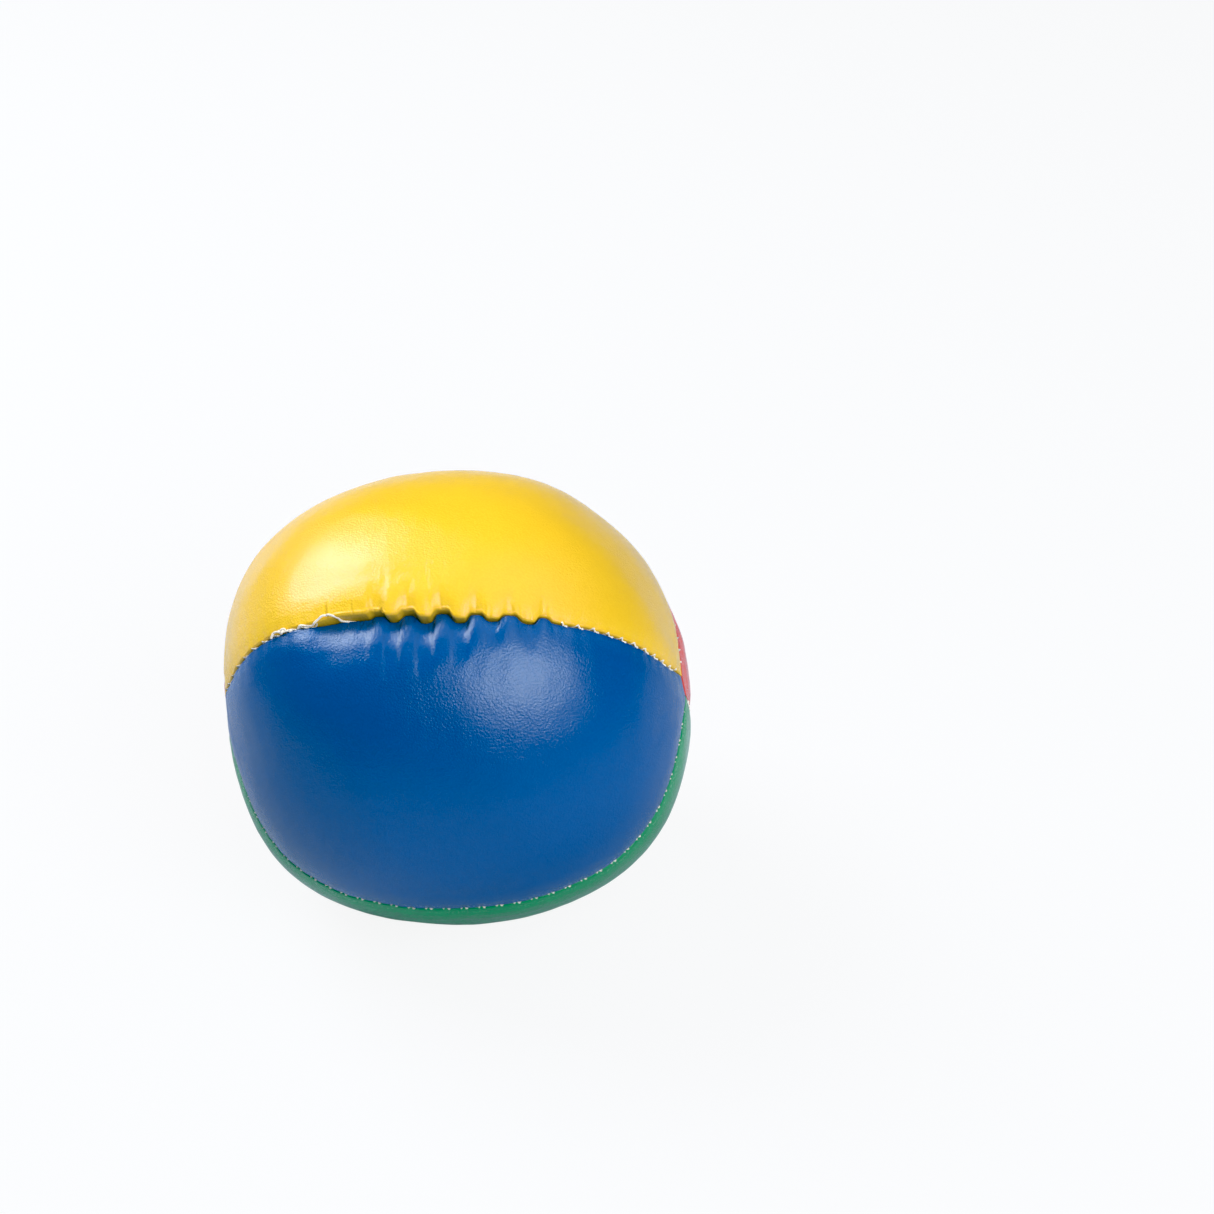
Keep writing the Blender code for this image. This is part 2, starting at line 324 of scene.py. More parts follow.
# Where the gathered seam turns, along X in mm: blue stands up at the first of these places,
# a yellow tooth comes down at the second, and so on in turns.
GATHERS_X = (-9.0, -7.2, -5.05, -2.8, -0.65, 1.85, 3.75, 5.95, 8.0, 10.5, 12.6)
GATHERS = [CLOSING.distance_at_x(x * MM) for x in GATHERS_X]
SWING = 0.45 * MM                   # half the swing of the gathered seam


def waves(points, seed, count, shortest, longest):
    """Soft random lumps between about -1 and 1: plane waves in random directions."""
    rng = np.random.default_rng(seed)
    direction = unit(rng.normal(size=(count, 3)))
    length = rng.uniform(shortest, longest, count)
    phase = rng.uniform(0, 2 * math.pi, count)
    total = np.zeros(points.shape[:-1])
    for n in range(count):
        total += np.cos(points @ direction[n] * (2 * math.pi / length[n]) + phase[n])
    return total / math.sqrt(count)


def in_closing(distance, ease):
    """1 inside the hand-sewn stretch, 0 outside, with a ramp at either end."""
    start, end = CLOSING_SPAN
    return smoothstep(start, start + ease, distance) * (1 - smoothstep(end - ease, end, distance))


def gathered(distance):
    """1 among the gathers and 0 outside them."""
    first, last = GATHERS[0], GATHERS[-1]
    begun = smoothstep(first - 1.6 * MM, first - 0.3 * MM, distance)
    return begun * (1 - smoothstep(last - 0.6 * MM, last + 1.2 * MM, distance))


def gather_wave(distance):
    """1 where blue stands up into yellow and -1 where a yellow tooth comes down."""
    turn = np.interp(distance, GATHERS, math.pi * np.arange(len(GATHERS)))
    return gathered(distance) * np.cos(turn)


def pulled_left(distance):
    """1 on the left part of the closing, where the thread is tightest, fading to the right."""
    begun = smoothstep(CLOSING_SPAN[0] - 4.0 * MM, CLOSING_SPAN[0] + 2.0 * MM, distance)
    return begun * (1 - smoothstep(GATHERS[2], GATHERS[8], distance))


def seam_swing(seam, distance):
    """How far the sewn line strays from its smooth course, towards the panel above."""
    stray = 0.05 * MM * np.sin(distance / (0.9 * MM) + len(seam)) * np.sin(distance / (5.3 * MM))
    if seam != "yellow_blue":
        return stray
    squarish = np.tanh(2.2 * gather_wave(distance)) / math.tanh(2.2)
    strength = 1.0 + 0.22 * np.sin(distance / (2.3 * MM) + 2.0)
    raised = (0.42 * in_closing(distance, 5.0 * MM) + 0.62 * pulled_left(distance)) * MM
    return stray + raised + SWING * strength * squarish


# %% [markdown]
# The skin near a seam is low, because the thread holds it in while the millet pushes the
# rest out. At the closing the pull is stronger, and each pull of the thread draws a short
# crease into the leatherette on either side.

# %% Heights beside a seam
def stitch_count(walk):
    return round(walk.length / MACHINE_PITCH)


def stitch_dip(seam, distance, away):
    """Each machine stitch pulls the leatherette in where it crosses."""
    walk = WALKS[seam]
    pitch = walk.length / stitch_count(walk)
    turn = 2 * math.pi * (distance / pitch - CROSSING_SHARE / 2)
    pull = (0.5 + 0.5 * np.cos(turn)) ** 2
    reach = np.exp(-(away / (1.3 * MM)) ** 2) + 0.3 * np.exp(-(away / (3.0 * MM)) ** 2)
    hand = in_closing(distance, 1.0 * MM) if seam == "yellow_blue" else 0.0
    return -0.07 * MM * pull * reach * (1 - hand)


def allowance_band(seam, distance, away):
    """The turned-in edges lift a band beside the seam, stronger here and weaker there."""
    uneven = 0.55 + 0.45 * np.sin(distance / (9.0 * MM) + 2.1 * len(seam))
    edge = 4.9 * MM + 0.35 * MM * np.sin(distance / (4.3 * MM))
    band = smoothstep(0.8 * MM, 2.2 * MM, away)
    band = band * (1 - smoothstep(edge - 1.3 * MM, edge + 0.5 * MM, away))
    held_in = 0.20 * MM * np.exp(-np.maximum(away, 0) / (1.3 * MM))
    return 0.09 * MM * uneven * band - held_in


def closing_pull(distance, away, upper_side):
    """The hand-sewn stretch holds the skin in, deeper and further than a machine seam."""
    inside = in_closing(distance, 6.0 * MM)
    left = pulled_left(distance)
    if upper_side:
        return -0.32 * MM * inside * np.exp(-np.maximum(away, 0) / (1.4 * MM))
    depth = (0.50 * inside + 1.80 * left) * MM
    reach = (4.5 + 4.0 * left) * MM
    return -depth * np.clip(1 - away / reach, 0, 1) ** 1.6


def puckers(distance, away, upper_side):
    """Each side stands up where it swings over the seam and is drawn in between."""
    own_way = -gather_wave(distance) if upper_side else gather_wave(distance)
    stands = np.clip(own_way, 0, 1) ** 1.4
    drawn_in = np.clip(-own_way, 0, 1) ** 1.8
    fade = np.exp(-(np.maximum(away, 0) / ((2.4 if upper_side else 2.0) * MM)) ** 1.5)
    lift, depth = (0.15 * MM, 0.36 * MM) if upper_side else (0.26 * MM, 0.22 * MM)
    return fade * (lift * stands - depth * drawn_in)


def scattered_creases(seed, count, first_x, last_x, longest):
    """Fine creases: place along the seam, start, length, slant, width and depth."""
    rng = np.random.default_rng(seed)
    return [(CLOSING.distance_at_x(rng.uniform(first_x, last_x) * MM), 0.1 * MM,
             rng.uniform(0.35, 1.0) * longest, rng.normal(0.0, 0.16),
             rng.uniform(0.10, 0.17) * MM, rng.uniform(0.05, 0.13) * MM)
            for _ in range(count)]


def chosen_creases(*rows):
    """Creases given one by one: X, start, length, slant, width and depth, lengths in mm."""
    return [(CLOSING.distance_at_x(x * MM), start * MM, length * MM, slant, width * MM, depth * MM)
            for x, start, length, slant, width, depth in rows]


BLUE_CREASES = scattered_creases(21, 26, -13.5, -1.5, 3.6 * MM)
BLUE_CREASES += scattered_creases(22, 10, -1.5, 13.5, 2.2 * MM)
BLUE_CREASES += chosen_creases((-9.9, 0.2, 2.4, 0.0, 0.22, 0.12), (-1.9, 0.2, 2.0, 0.1, 0.18, 0.12),
                               (2.9, 0.0, 2.4, -0.35, 0.2, 0.18), (6.9, 0.0, 2.2, -0.4, 0.2, 0.18))
YELLOW_CREASES = scattered_creases(31, 14, -12.0, 13.0, 2.8 * MM)
YELLOW_CREASES += chosen_creases((-15.4, 0.5, 2.6, -0.1, 0.16, 0.34),
                                 (-12.2, 0.4, 1.9, 0.0, 0.16, 0.14),
                                 (-8.6, 0.5, 6.5, 0.12, 0.45, 0.12),
                                 (-2.1, 0.6, 7.5, -0.1, 0.3, 0.10),
                                 (8.8, 0.3, 1.6, -0.5, 0.16, 0.20),
                                 (-5.2, 0.6, 5.0, 0.2, 0.4, 0.10))


def crease_heights(creases, distance, away):
    """A crease is a narrow cut with a raised lip on one side, and fades along its length."""
    height = np.zeros(np.broadcast(distance, away).shape)
    for place, start, length, slant, width, depth in creases:
        share = np.clip((away - start) / length, 0.0, 1.0)
        bend = 0.3 * width * np.sin(4.0 * share + place / MM)
        off = (distance - place - slant * away + bend) / width
        profile = 0.45 * np.exp(-((off - 1.7) / 1.2) ** 2) - np.exp(-off ** 2)
        fade = smoothstep(-0.15, 0.12, (away - start) / length) * (1 - share) ** 0.8
        height += depth * profile * fade
    return height


def relief(panel, points, distances, aways):
    """All heights of one panel's crown, added up."""
    height = 0.05 * MM * waves(points, 11, 36, 7 * MM, 16 * MM)
    height += 0.012 * MM * waves(points, 12, 48, 2.2 * MM, 4.2 * MM)
    for side, seam in enumerate(PANELS[panel]):
        distance, away = distances[side], aways[side]
        height += allowance_band(seam, distance, away) + stitch_dip(seam, distance, away)
        if seam == "yellow_blue":
            height += closing_pull(distance, away, side == 0)
            height += puckers(distance, away, side == 0)
            creases = YELLOW_CREASES if side == 0 else BLUE_CREASES
            height += crease_heights(creases, distance, away)
    return height


# %% [markdown]
# ## The millet pushes the skin out
#
# A stuffed skin swells between its seams, most where the leatherette is furthest from
# a thread. Blender's Cloth simulation finds that swell: a coarse closed skin is laid over the
# form, its seams are pinned, and pressure inside blows it up for twenty frames. It is
# simulated thirty times as large as it is, since Cloth is tuned for things the size of
# clothes. Only the swell is kept, as a height over the form, and it is limited to a fraction
# of a millimetre so that the ball keeps its size. The coarse skin has corners that would show
# in the shine, so its swell is written as a sum of a few smooth waves, fitted to it.

# %% Blow up a coarse skin
SWELL_STATIONS = 49
SWELL_ROWS = 13
SWELL_LIMIT = 0.25 * MM
CLOTH_SCALE = 30.0
CLOTH_FRAMES = 20
SWELL_T = np.linspace(0.04, math.pi - 0.04, SWELL_STATIONS)
WAVES_ALONG, WAVES_ACROSS = 6, 3
SWELL = {panel: np.zeros(WAVES_ALONG * WAVES_ACROSS) for panel in PANELS}


def swell_waves(t, across):
    """Smooth waves over a panel that are all zero on its seams and at the poles."""
    return np.stack([np.sin(n * t) * np.sin(m * math.pi * across)
                     for n in range(1, WAVES_ALONG + 1) for m in range(1, WAVES_ACROSS + 1)], -1)


def discard(piece):
    """Remove a helper object together with its mesh."""
    mesh = piece.data
    bpy.data.objects.remove(piece)
    bpy.data.meshes.remove(mesh)


def coarse_skin():
    """The four panels as one closed skin, with its seams and poles in the group "seams"."""
    across = np.linspace(0, 1, SWELL_ROWS)
    rings = np.concatenate([form(panel, SWELL_T[:, None], across[:-1]) for panel in PANELS], 1)
    stations, ring = rings.shape[:2]
    points = np.vstack([rings.reshape(-1, 3), rings[0].mean(0), rings[-1].mean(0)])
    faces = []
    for place in range(ring):
        after = (place + 1) % ring
        faces += [(n * ring + place, n * ring + after, n * ring + ring + after,
                   n * ring + ring + place) for n in range(stations - 1)]
        faces.append((stations * ring, after, place))
        faces.append((stations * ring + 1, (stations - 1) * ring + place,
                      (stations - 1) * ring + after))
    mesh = bpy.data.meshes.new("coarse skin")
    mesh.from_pydata((points * CLOTH_SCALE).tolist(), [], faces)
    skin = bpy.data.objects.new("coarse skin", mesh)
    bpy.context.scene.collection.objects.link(skin)
    held = [n * ring + place for n in range(stations) for place in range(0, ring, SWELL_ROWS - 1)]
    held += list(range(ring)) + list(range((stations - 1) * ring, stations * ring + 2))
    skin.vertex_groups.new(name="seams").add(sorted(set(held)), 1.0, "REPLACE")
    return skin, rings


def blow_up():
    """Simulate the skin and keep how far it has swollen, panel by panel."""
    skin, rings = coarse_skin()
    cloth = skin.modifiers.new("cloth", "CLOTH")
    settings = cloth.settings
    settings.quality = 6
    settings.use_pressure = True
    settings.uniform_pressure_force = 4.0
    settings.vertex_group_mass = "seams"
    settings.effector_weights.gravity = 0.0
    cloth.point_cache.frame_start, cloth.point_cache.frame_end = 1, CLOTH_FRAMES
    for frame_number in range(1, CLOTH_FRAMES + 1):
        bpy.context.scene.frame_set(frame_number)
    blown = skin.evaluated_get(bpy.context.evaluated_depsgraph_get()).data
    places = np.empty(len(blown.vertices) * 3)
    blown.vertices.foreach_get("co", places)
    places = places.reshape(-1, 3)[:-2].reshape(rings.shape) / CLOTH_SCALE
    columns = SWELL_ROWS - 1
    for number, panel in enumerate(PANELS):
        strip = np.arange(number * columns, (number + 1) * columns + 1) % rings.shape[1]
        normal = form_normal(panel, SWELL_T[:, None], np.linspace(0, 1, SWELL_ROWS))
        height = np.sum((places - rings)[:, strip] * normal, -1)
        limited = SWELL_LIMIT * np.tanh(height / SWELL_LIMIT)
        basis = swell_waves(SWELL_T[:, None], np.linspace(0, 1, SWELL_ROWS))
        SWELL[panel] = np.linalg.lstsq(basis.reshape(limited.size, -1), limited.ravel(), None)[0]
        kept = basis @ SWELL[panel]
        print(panel, "skin swells by up to", round(float(height.max()) / MM, 2), "mm, kept:",
              round(float(kept.min()) / MM, 2), "to", round(float(kept.max()) / MM, 2), "mm")
    bpy.context.scene.frame_set(1)
    discard(skin)


blow_up()


def swell(panel, t, across):
    """How far the millet pushes the skin out at any place on a panel."""
    return swell_waves(t, across) @ SWELL[panel]


# %% [markdown]
# ## The four panels
#
# Each panel is one sheet of points, row by row: up its lower allowance, round the lower
# fold, over the crown, round the upper fold and down again. Rows lie close together beside
# the seams, where the creases are, and far apart on the crown. The sheet then gets its
# thickness from Solidify. A subdivided cube could not hold creases of a tenth of a
# millimetre without millions of faces; laying the rows one by one puts them where they count.

# %% Lay out one panel
def spaced(length, near, far, ease):
    """Places from 0 to 1 that are `near` apart at both ends and `far` apart in the middle."""
    places = [0.0]
    while places[-1] < length / 2:
        share = smoothstep(ease * 0.25, ease, places[-1])
        places.append(places[-1] + near + (far - near) * float(share))
    half = np.array(places) / places[-1] / 2
    return np.concatenate([half, 1 - half[-2::-1]])


def station_places(panel):
    """Places from pole to pole: close at the tips and along the gathered seam."""
    walk = WALKS[PANELS[panel][0]]
    gathered = panel in ("yellow", "blue")
    walk = CLOSING if gathered else walk
    places = [0.0]
    while places[-1] < walk.length:
        from_end = min(places[-1], walk.length - places[-1])
        step = 0.16 * MM + 0.26 * MM * float(smoothstep(1.0 * MM, 4.0 * MM, from_end))
        if gathered:
            step -= 0.28 * MM * float(in_closing(places[-1], 1.5 * MM))
        places.append(places[-1] + step)
    return walk.t_at(np.array(places) * walk.length / places[-1])


FOLD_STEPS = 8
FLANGE_STEPS = 4
FULL_WIDTH = 43 * MM                # a panel's width on its crown, which the rows share out
ROW_NEAR = 0.24 * MM                # row spacing beside a seam
ROW_FAR = 0.85 * MM                 # row spacing on the crown
ROW_EASE = 9 * MM                   # distance from the seam at which rows are far apart
TIP_ROLL_REACH = 4.5 * MM           # how far from a pole the blunt tips roll over
EDGE_HEIGHTS = {}                   # (panel, seam): distances along the seam, edge heights


def fold_size(t):
    """Folds and allowances shrink towards the tips, where four panels have to meet."""
    return np.minimum(1.0, ring_radius(t) / FOLD_FULL_AT)


def edge_rows(seam, t, side, height):
    """The turned-in edge: from the raw edge up the allowance and round the fold."""
    point, normal, across = seam_basis(seam, t)
    swing = seam_swing(seam, WALKS[seam].distance(t))
    size = fold_size(t)[:, None]
    base = point + across * swing[:, None] + normal * height[:, None]
    inward = across * side
    rows = []
    for step in range(FLANGE_STEPS):
        depth = ALLOWANCE + (FOLD_RADIUS - ALLOWANCE) * step / FLANGE_STEPS
        rows.append(base + inward * SEAM_GAP / 2 - normal * depth * size)
    centre = base + inward * (SEAM_GAP / 2 + FOLD_RADIUS * size) - normal * FOLD_RADIUS * size
    for step in range(FOLD_STEPS):
        turn = math.radians(90) * step / FOLD_STEPS
        radial = normal * math.sin(turn) - inward * math.cos(turn)
        rows.append(centre + FOLD_RADIUS * size * radial)
    return rows


def end_drop(panel, points):
    """Blue and red also roll over where their blunt tips meet each other at the poles."""
    if panel not in ("blue", "red"):
        return 0.0
    border = unit(YELLOW_TIP - GREEN_TIP)
    facing = np.cross(border, np.array([1.0, 0.0, 0.0])) * (1 if panel == "red" else -1)
    meeting = np.where(points[..., :1] > 0, RIGHT_MEETING, LEFT_MEETING)
    corner = np.array([0.0, 0.0, AXIS_HEIGHT]) + meeting + YELLOW_TIP
    reach = (points - corner) @ facing - SEAM_GAP / 2
    inside = np.clip(1 - reach / FOLD_RADIUS, 0.0, 1.0)
    near_pole = np.linalg.norm((points - corner)[..., 1:], axis=-1) < TIP_ROLL_REACH
    return -0.8 * FOLD_RADIUS * (1 - np.sqrt(1 - inside * inside)) * near_pole


def panel_points(panel):
    """All points of one panel as a grid: rows across, stations from left pole to right pole."""
    t = station_places(panel)
    lower, upper = PANELS[panel]
    turn = panel_angle(panel, t, 1.0) - panel_angle(panel, t, 0.0)
    width = ring_radius(t) * corner_factor(0.0) * turn
    fold = SEAM_GAP / 2 + FOLD_RADIUS * fold_size(t)
    swings = [seam_swing(seam, WALKS[seam].distance(t)) for seam in (lower, upper)]
    first = (fold + swings[0]) / width
    last = 1 - (fold - swings[1]) / width
    rows = spaced(FULL_WIDTH, ROW_NEAR, ROW_FAR, ROW_EASE)
    across = first[:, None] + (last - first)[:, None] * rows[None, :]
    place = t[:, None]
    points = form(panel, place, across)
    normal = form_normal(panel, place, across)
    distances = [np.broadcast_to(WALKS[seam].distance(place), across.shape)
                 for seam in (lower, upper)]
    aways = [across * width[:, None] - swings[0][:, None],
             (1 - across) * width[:, None] + swings[1][:, None]]
    height = relief(panel, points, distances, aways) + swell(panel, place, across)
    height *= np.minimum(1, width / (6 * MM))[:, None]
    height += end_drop(panel, points)
    # The flat under the ball stays flat.
    height = height * smoothstep(0.0, 1.5 * MM, points[..., 2])
    crown = points + normal * height[..., None]
    for seam, column in ((lower, 0), (upper, -1)):
        EDGE_HEIGHTS[panel, seam] = (WALKS[seam].distance(t), height[:, column])
    grid = edge_rows(lower, t, 1, height[:, 0])
    grid += [crown[:, n] for n in range(crown.shape[1])]
    grid += edge_rows(upper, t, -1, height[:, -1])[::-1]
    return np.stack(grid), fold_size(t), np.minimum(aways[0], aways[1])


def grid_mesh(name, grid):
    """A mesh of quads over a grid of points, its faces turned outwards."""
    rows, stations = grid.shape[:2]
    mesh = bpy.data.meshes.new(name)
    index = np.arange(rows * stations).reshape(rows, stations)
    quads = np.stack([index[:-1, :-1], index[:-1, 1:], index[1:, 1:], index[1:, :-1]], -1)
    mesh.from_pydata(grid.reshape(-1, 3).tolist(), [], quads.reshape(-1, 4).tolist())
    mesh.shade_smooth()
    return mesh


def add_piece(name, mesh):
    piece = bpy.data.objects.new(name, mesh)
    bpy.context.scene.collection.objects.link(piece)
    return piece


def set_point_values(mesh, name, values):
    attribute = mesh.attributes.new(name, "FLOAT", "POINT")
    attribute.data.foreach_set("value", np.ascontiguousarray(values, np.float32).ravel())


def make_panel(panel):
    grid, thickness, away = panel_points(panel)
    name = panel + "_cover"
    mesh = grid_mesh(name, grid)
    rows, stations = grid.shape[:2]
    edge = FLANGE_STEPS + FOLD_STEPS
    seam_away = np.zeros((rows, stations))
    seam_away[edge:rows - edge] = away.T
    set_point_values(mesh, "seam_away", seam_away / MM)
    piece = add_piece(name, mesh)
    # The sewn edges are pressed thin, and the tips thinner still.
    from_fold = np.minimum(np.arange(rows), np.arange(rows)[::-1]) - edge
    pressed = 0.36 + 0.64 * smoothstep(0, 5, from_fold)
    share = np.maximum(0.1, np.outer(pressed, thickness))
    wall = piece.vertex_groups.new(name="wall")
    for number, weight in enumerate(share.ravel().tolist()):
        wall.add([number], weight, "REPLACE")
    shell = piece.modifiers.new("leatherette thickness", "SOLIDIFY")
    shell.thickness = LEATHER
    shell.offset = -1.0
    shell.vertex_group = "wall"
    print(name, rows, "rows,", stations, "stations")
    return piece


COVERS = {panel: make_panel(panel) for panel in PANELS}

# %% [markdown]
# ## The sewing thread
#
# A machine seam shows as a row of short slanted bars where the thread crosses the groove,
# and dives out of sight between them. The same stitch comes back about forty times on every
# seam, so Geometry Nodes make it: the tree gets a bare line along the seam, cuts it into
# stitches, winds it from side to side and gives it a body with three twisted plies. A Curve
# modifier on one modelled stitch would stretch the stitches in the bends, and copies placed
# by hand would be tedious to change.

# %% A small helper for building node trees
class NodeBuilder:
    """Adds nodes to a tree and joins their sockets, one call for each node."""

    def __init__(self, tree):
        self.tree = tree

    def add(self, kind, inputs=None, **settings):
        node = self.tree.nodes.new(kind)
        for name, value in settings.items():
            setattr(node, name, value)
        for key, value in (inputs or {}).items():
            socket = node.inputs[key]
            if isinstance(value, bpy.types.NodeSocket):
                self.tree.links.new(value, socket)
            else:
                socket.default_value = value
        return node

    def math(self, operation, *values):
        return self.add("ShaderNodeMath", dict(enumerate(values)), operation=operation).outputs[0]

    def vector(self, operation, *values, **inputs):
        sockets = dict(enumerate(values)) | inputs
        return self.add("ShaderNodeVectorMath", sockets, operation=operation).outputs[0]

    def ramp(self, value, low, high, to_low=0.0, to_high=1.0):
        """A value carried from one range to another, and held at its ends."""
        keys = {"Value": value, "From Min": low, "From Max": high,
                "To Min": to_low, "To Max": to_high}
        return self.add("ShaderNodeMapRange", keys).outputs[0]

    def object_place(self):
        """The place of a point in the piece's own coordinates."""
        return self.add("ShaderNodeTexCoord").outputs["Object"]

    def noise(self, place, scale, detail, **inputs):
        """A smooth random pattern, about 0.5 on average."""
        sockets = {"Vector": place, "Scale": scale, "Detail": detail} | inputs
        return self.add("ShaderNodeTexNoise", sockets).outputs[0]


def new_geometry_tree(name, inputs):
    """A Geometry Nodes tree with a mesh in, a mesh out and named inputs."""
    tree = bpy.data.node_groups.new(name, "GeometryNodeTree")
    tree.interface.new_socket("Geometry", in_out="INPUT", socket_type="NodeSocketGeometry")
    for label, kind in inputs.items():
        tree.interface.new_socket(label, in_out="INPUT", socket_type="NodeSocket" + kind)
    tree.interface.new_socket("Geometry", in_out="OUTPUT", socket_type="NodeSocketGeometry")
    return tree, NodeBuilder(tree)


def grown_mesh(name, mesh, tree, values):
    """Runs a tree on a mesh and keeps what it makes as a plain mesh object."""
    source = add_piece(name + "_source", mesh)
    maker = source.modifiers.new(tree.name, "NODES")
    maker.node_group = tree
    sockets = {item.name: item.identifier for item in tree.interface.items_tree
               if item.in_out == "INPUT"}
    for label, value in values.items():
        maker[sockets[label]] = value
    bpy.context.view_layer.update()
    ready = source.evaluated_get(bpy.context.evaluated_depsgraph_get())
    grown = bpy.data.meshes.new_from_object(ready)
    discard(source)
    piece = add_piece(name, grown)
    grown.name = name
    grown.calc_loop_triangles()
    print(name, len(grown.loop_triangles), "triangles")
    return piece


# %% Wind a thread over and under a seam
def build_stitch_tree():
    tree, n = new_geometry_tree("sewn stitches", {
        "Stitches": "Int", "Steps": "Int", "Crossing Share": "Float", "Half Width": "Float",
        "Rise": "Float", "Dive": "Float", "Thread Radius": "Float", "Plies": "Int",
        "Ply Depth": "Float", "Twist Length": "Float", "Unevenness": "Float", "Seed": "Int",
        "Material": "Material"})
    given = n.add("NodeGroupInput").outputs
    line = n.add("GeometryNodeMeshToCurve", {"Mesh": given["Geometry"]}).outputs[0]
    count = n.math("ADD", n.math("MULTIPLY", given["Stitches"], given["Steps"]), 1.0)
    cut = n.add("GeometryNodeResampleCurve", {"Curve": line, "Count": count}).outputs[0]
    # Where a point stands within its stitch: 0 at the start, just under 1 at the end.
    along_line = n.add("GeometryNodeSplineParameter").outputs
    within = n.math("FRACT", n.math("MULTIPLY", along_line["Factor"], given["Stitches"]))
    over = n.ramp(within, 0.0, given["Crossing Share"], 0.0, math.pi)
    under = n.ramp(within, given["Crossing Share"], 1.0, 0.0, math.pi)
    turn = n.math("ADD", over, under)
    sideways = n.math("MULTIPLY", n.math("COSINE", turn), given["Half Width"])
    height = n.math("SINE", turn)
    above = n.math("MULTIPLY", n.math("MAXIMUM", height, 0.0), given["Rise"])
    below = n.math("MULTIPLY", n.math("MINIMUM", height, 0.0), given["Dive"])
    out = n.add("GeometryNodeInputNamedAttribute", {"Name": "out"}, data_type="FLOAT_VECTOR")
    side = n.add("GeometryNodeInputNamedAttribute", {"Name": "side"}, data_type="FLOAT_VECTOR")
    # Some stitches are pulled tighter than others, each by its own amount.
    number = n.math("FLOOR", n.math("MULTIPLY", along_line["Factor"], given["Stitches"]))
    tight = n.add("FunctionNodeRandomValue", {"ID": number, "Seed": given["Seed"]},
                  data_type="FLOAT").outputs[1]
    tightened = n.math("MULTIPLY", n.math("MULTIPLY", tight, given["Unevenness"]),
                       n.math("MAXIMUM", height, 0.0))
    lift = n.vector("SCALE", out.outputs[0],
                    Scale=n.math("SUBTRACT", n.math("ADD", above, below), tightened))
    shift = n.vector("SCALE", side.outputs[0], Scale=sideways)
    offset = n.vector("ADD", lift, shift)
    wound = n.add("GeometryNodeSetPosition", {"Geometry": cut, "Offset": offset}).outputs[0]
    length = n.add("GeometryNodeSplineParameter").outputs["Length"]
    turns = n.math("DIVIDE", length, given["Twist Length"])
    tilt = n.math("MULTIPLY", turns, 2 * math.pi)
    twisted = n.add("GeometryNodeSetCurveTilt", {"Curve": wound, "Tilt": tilt}).outputs[0]
    # The profile is a circle with one lobe for each ply.
    ring = n.add("GeometryNodeCurvePrimitiveCircle",
                 {"Resolution": 12, "Radius": given["Thread Radius"]}).outputs[0]
    round_ring = n.add("GeometryNodeSplineParameter").outputs["Factor"]
    around = n.math("MULTIPLY", round_ring, 2 * math.pi)
    lobes = n.math("COSINE", n.math("MULTIPLY", around, given["Plies"]))
    fuller = n.math("MULTIPLY", lobes, given["Ply Depth"])
    grow = n.vector("SCALE", n.add("GeometryNodeInputPosition").outputs[0], Scale=fuller)
    profile = n.add("GeometryNodeSetPosition", {"Geometry": ring, "Offset": grow}).outputs[0]
    body = n.add("GeometryNodeCurveToMesh",
                 {"Curve": twisted, "Profile Curve": profile, "Fill Caps": True}).outputs[0]
    smooth = n.add("GeometryNodeSetShadeSmooth", {"Geometry": body}).outputs[0]
    real = n.add("GeometryNodeRealizeInstances", {"Geometry": smooth}).outputs[0]
    done = n.add("GeometryNodeSetMaterial", {"Geometry": real, "Material": given["Material"]})
    n.add("NodeGroupOutput", {"Geometry": done.outputs[0]})
    return tree


STITCH_TREE = build_stitch_tree()


# %% [markdown]
# The thread has to lie on the leatherette, so its line takes the height of the finished
# edges on either side, which `make_panel` left behind. Its three vectors - the point, the
# way out and the way across - travel to the tree as mesh attributes.

# %% The line that a thread follows
def edge_height(seam, distance):
    """Mean height of the two sewn edges, read where the folds begin."""
    heights = [np.interp(distance, *EDGE_HEIGHTS[panel, seam]) for panel in PANELS
               if (panel, seam) in EDGE_HEIGHTS]
    return sum(heights) / len(heights)


def seam_line(name, seam, start, end, count=900):
    """A bare line of points along a seam, with the way out and the way across at each."""
    walk = WALKS[seam]
    distance = np.linspace(start, end, count)
    t = walk.t_at(distance)
    point, normal, across = seam_basis(seam, t)
    line = point + across * seam_swing(seam, distance)[:, None]
    line = line + normal * edge_height(seam, distance)[:, None]
    return line_mesh(name, line, normal, across)


def line_mesh(name, line, out, side):
    mesh = bpy.data.meshes.new(name + "_line")
    edges = [(n, n + 1) for n in range(len(line) - 1)]
    mesh.from_pydata(line.tolist(), edges, [])
    for label, vectors in (("out", out), ("side", side)):
        attribute = mesh.attributes.new(label, "FLOAT_VECTOR", "POINT")
        attribute.data.foreach_set("vector", np.ascontiguousarray(vectors, np.float32).ravel())
    return mesh


# %% [markdown]
# ## Finishes
#
# The cover is a coated leatherette: a coloured, slightly glossy skin with a fine pebble
# grain, which is a little paler and duller where hands have worn it along the seams. Its
# colour also carries painted shade, darker in the creases between the grain's cells and in
# the groove right at each seam. The grain and the wear, each with its painted shade, are the
# same on all four colours, so each is one node group with named inputs, placed in every
# panel's material. An image texture would need a map laid out for every panel; a pattern
# computed from the object's own coordinates needs none.

# %% Node groups shared by the finishes
def new_shader_group(name, inputs, outputs):
    """A shader node group with named number inputs and outputs."""
    tree = bpy.data.node_groups.new(name, "ShaderNodeTree")
    for label, value in inputs.items():
        socket = tree.interface.new_socket(label, in_out="INPUT", socket_type="NodeSocketFloat")
        socket.default_value = value
    for label in outputs:
        tree.interface.new_socket(label, in_out="OUTPUT", socket_type="NodeSocketFloat")
    return tree, NodeBuilder(tree)


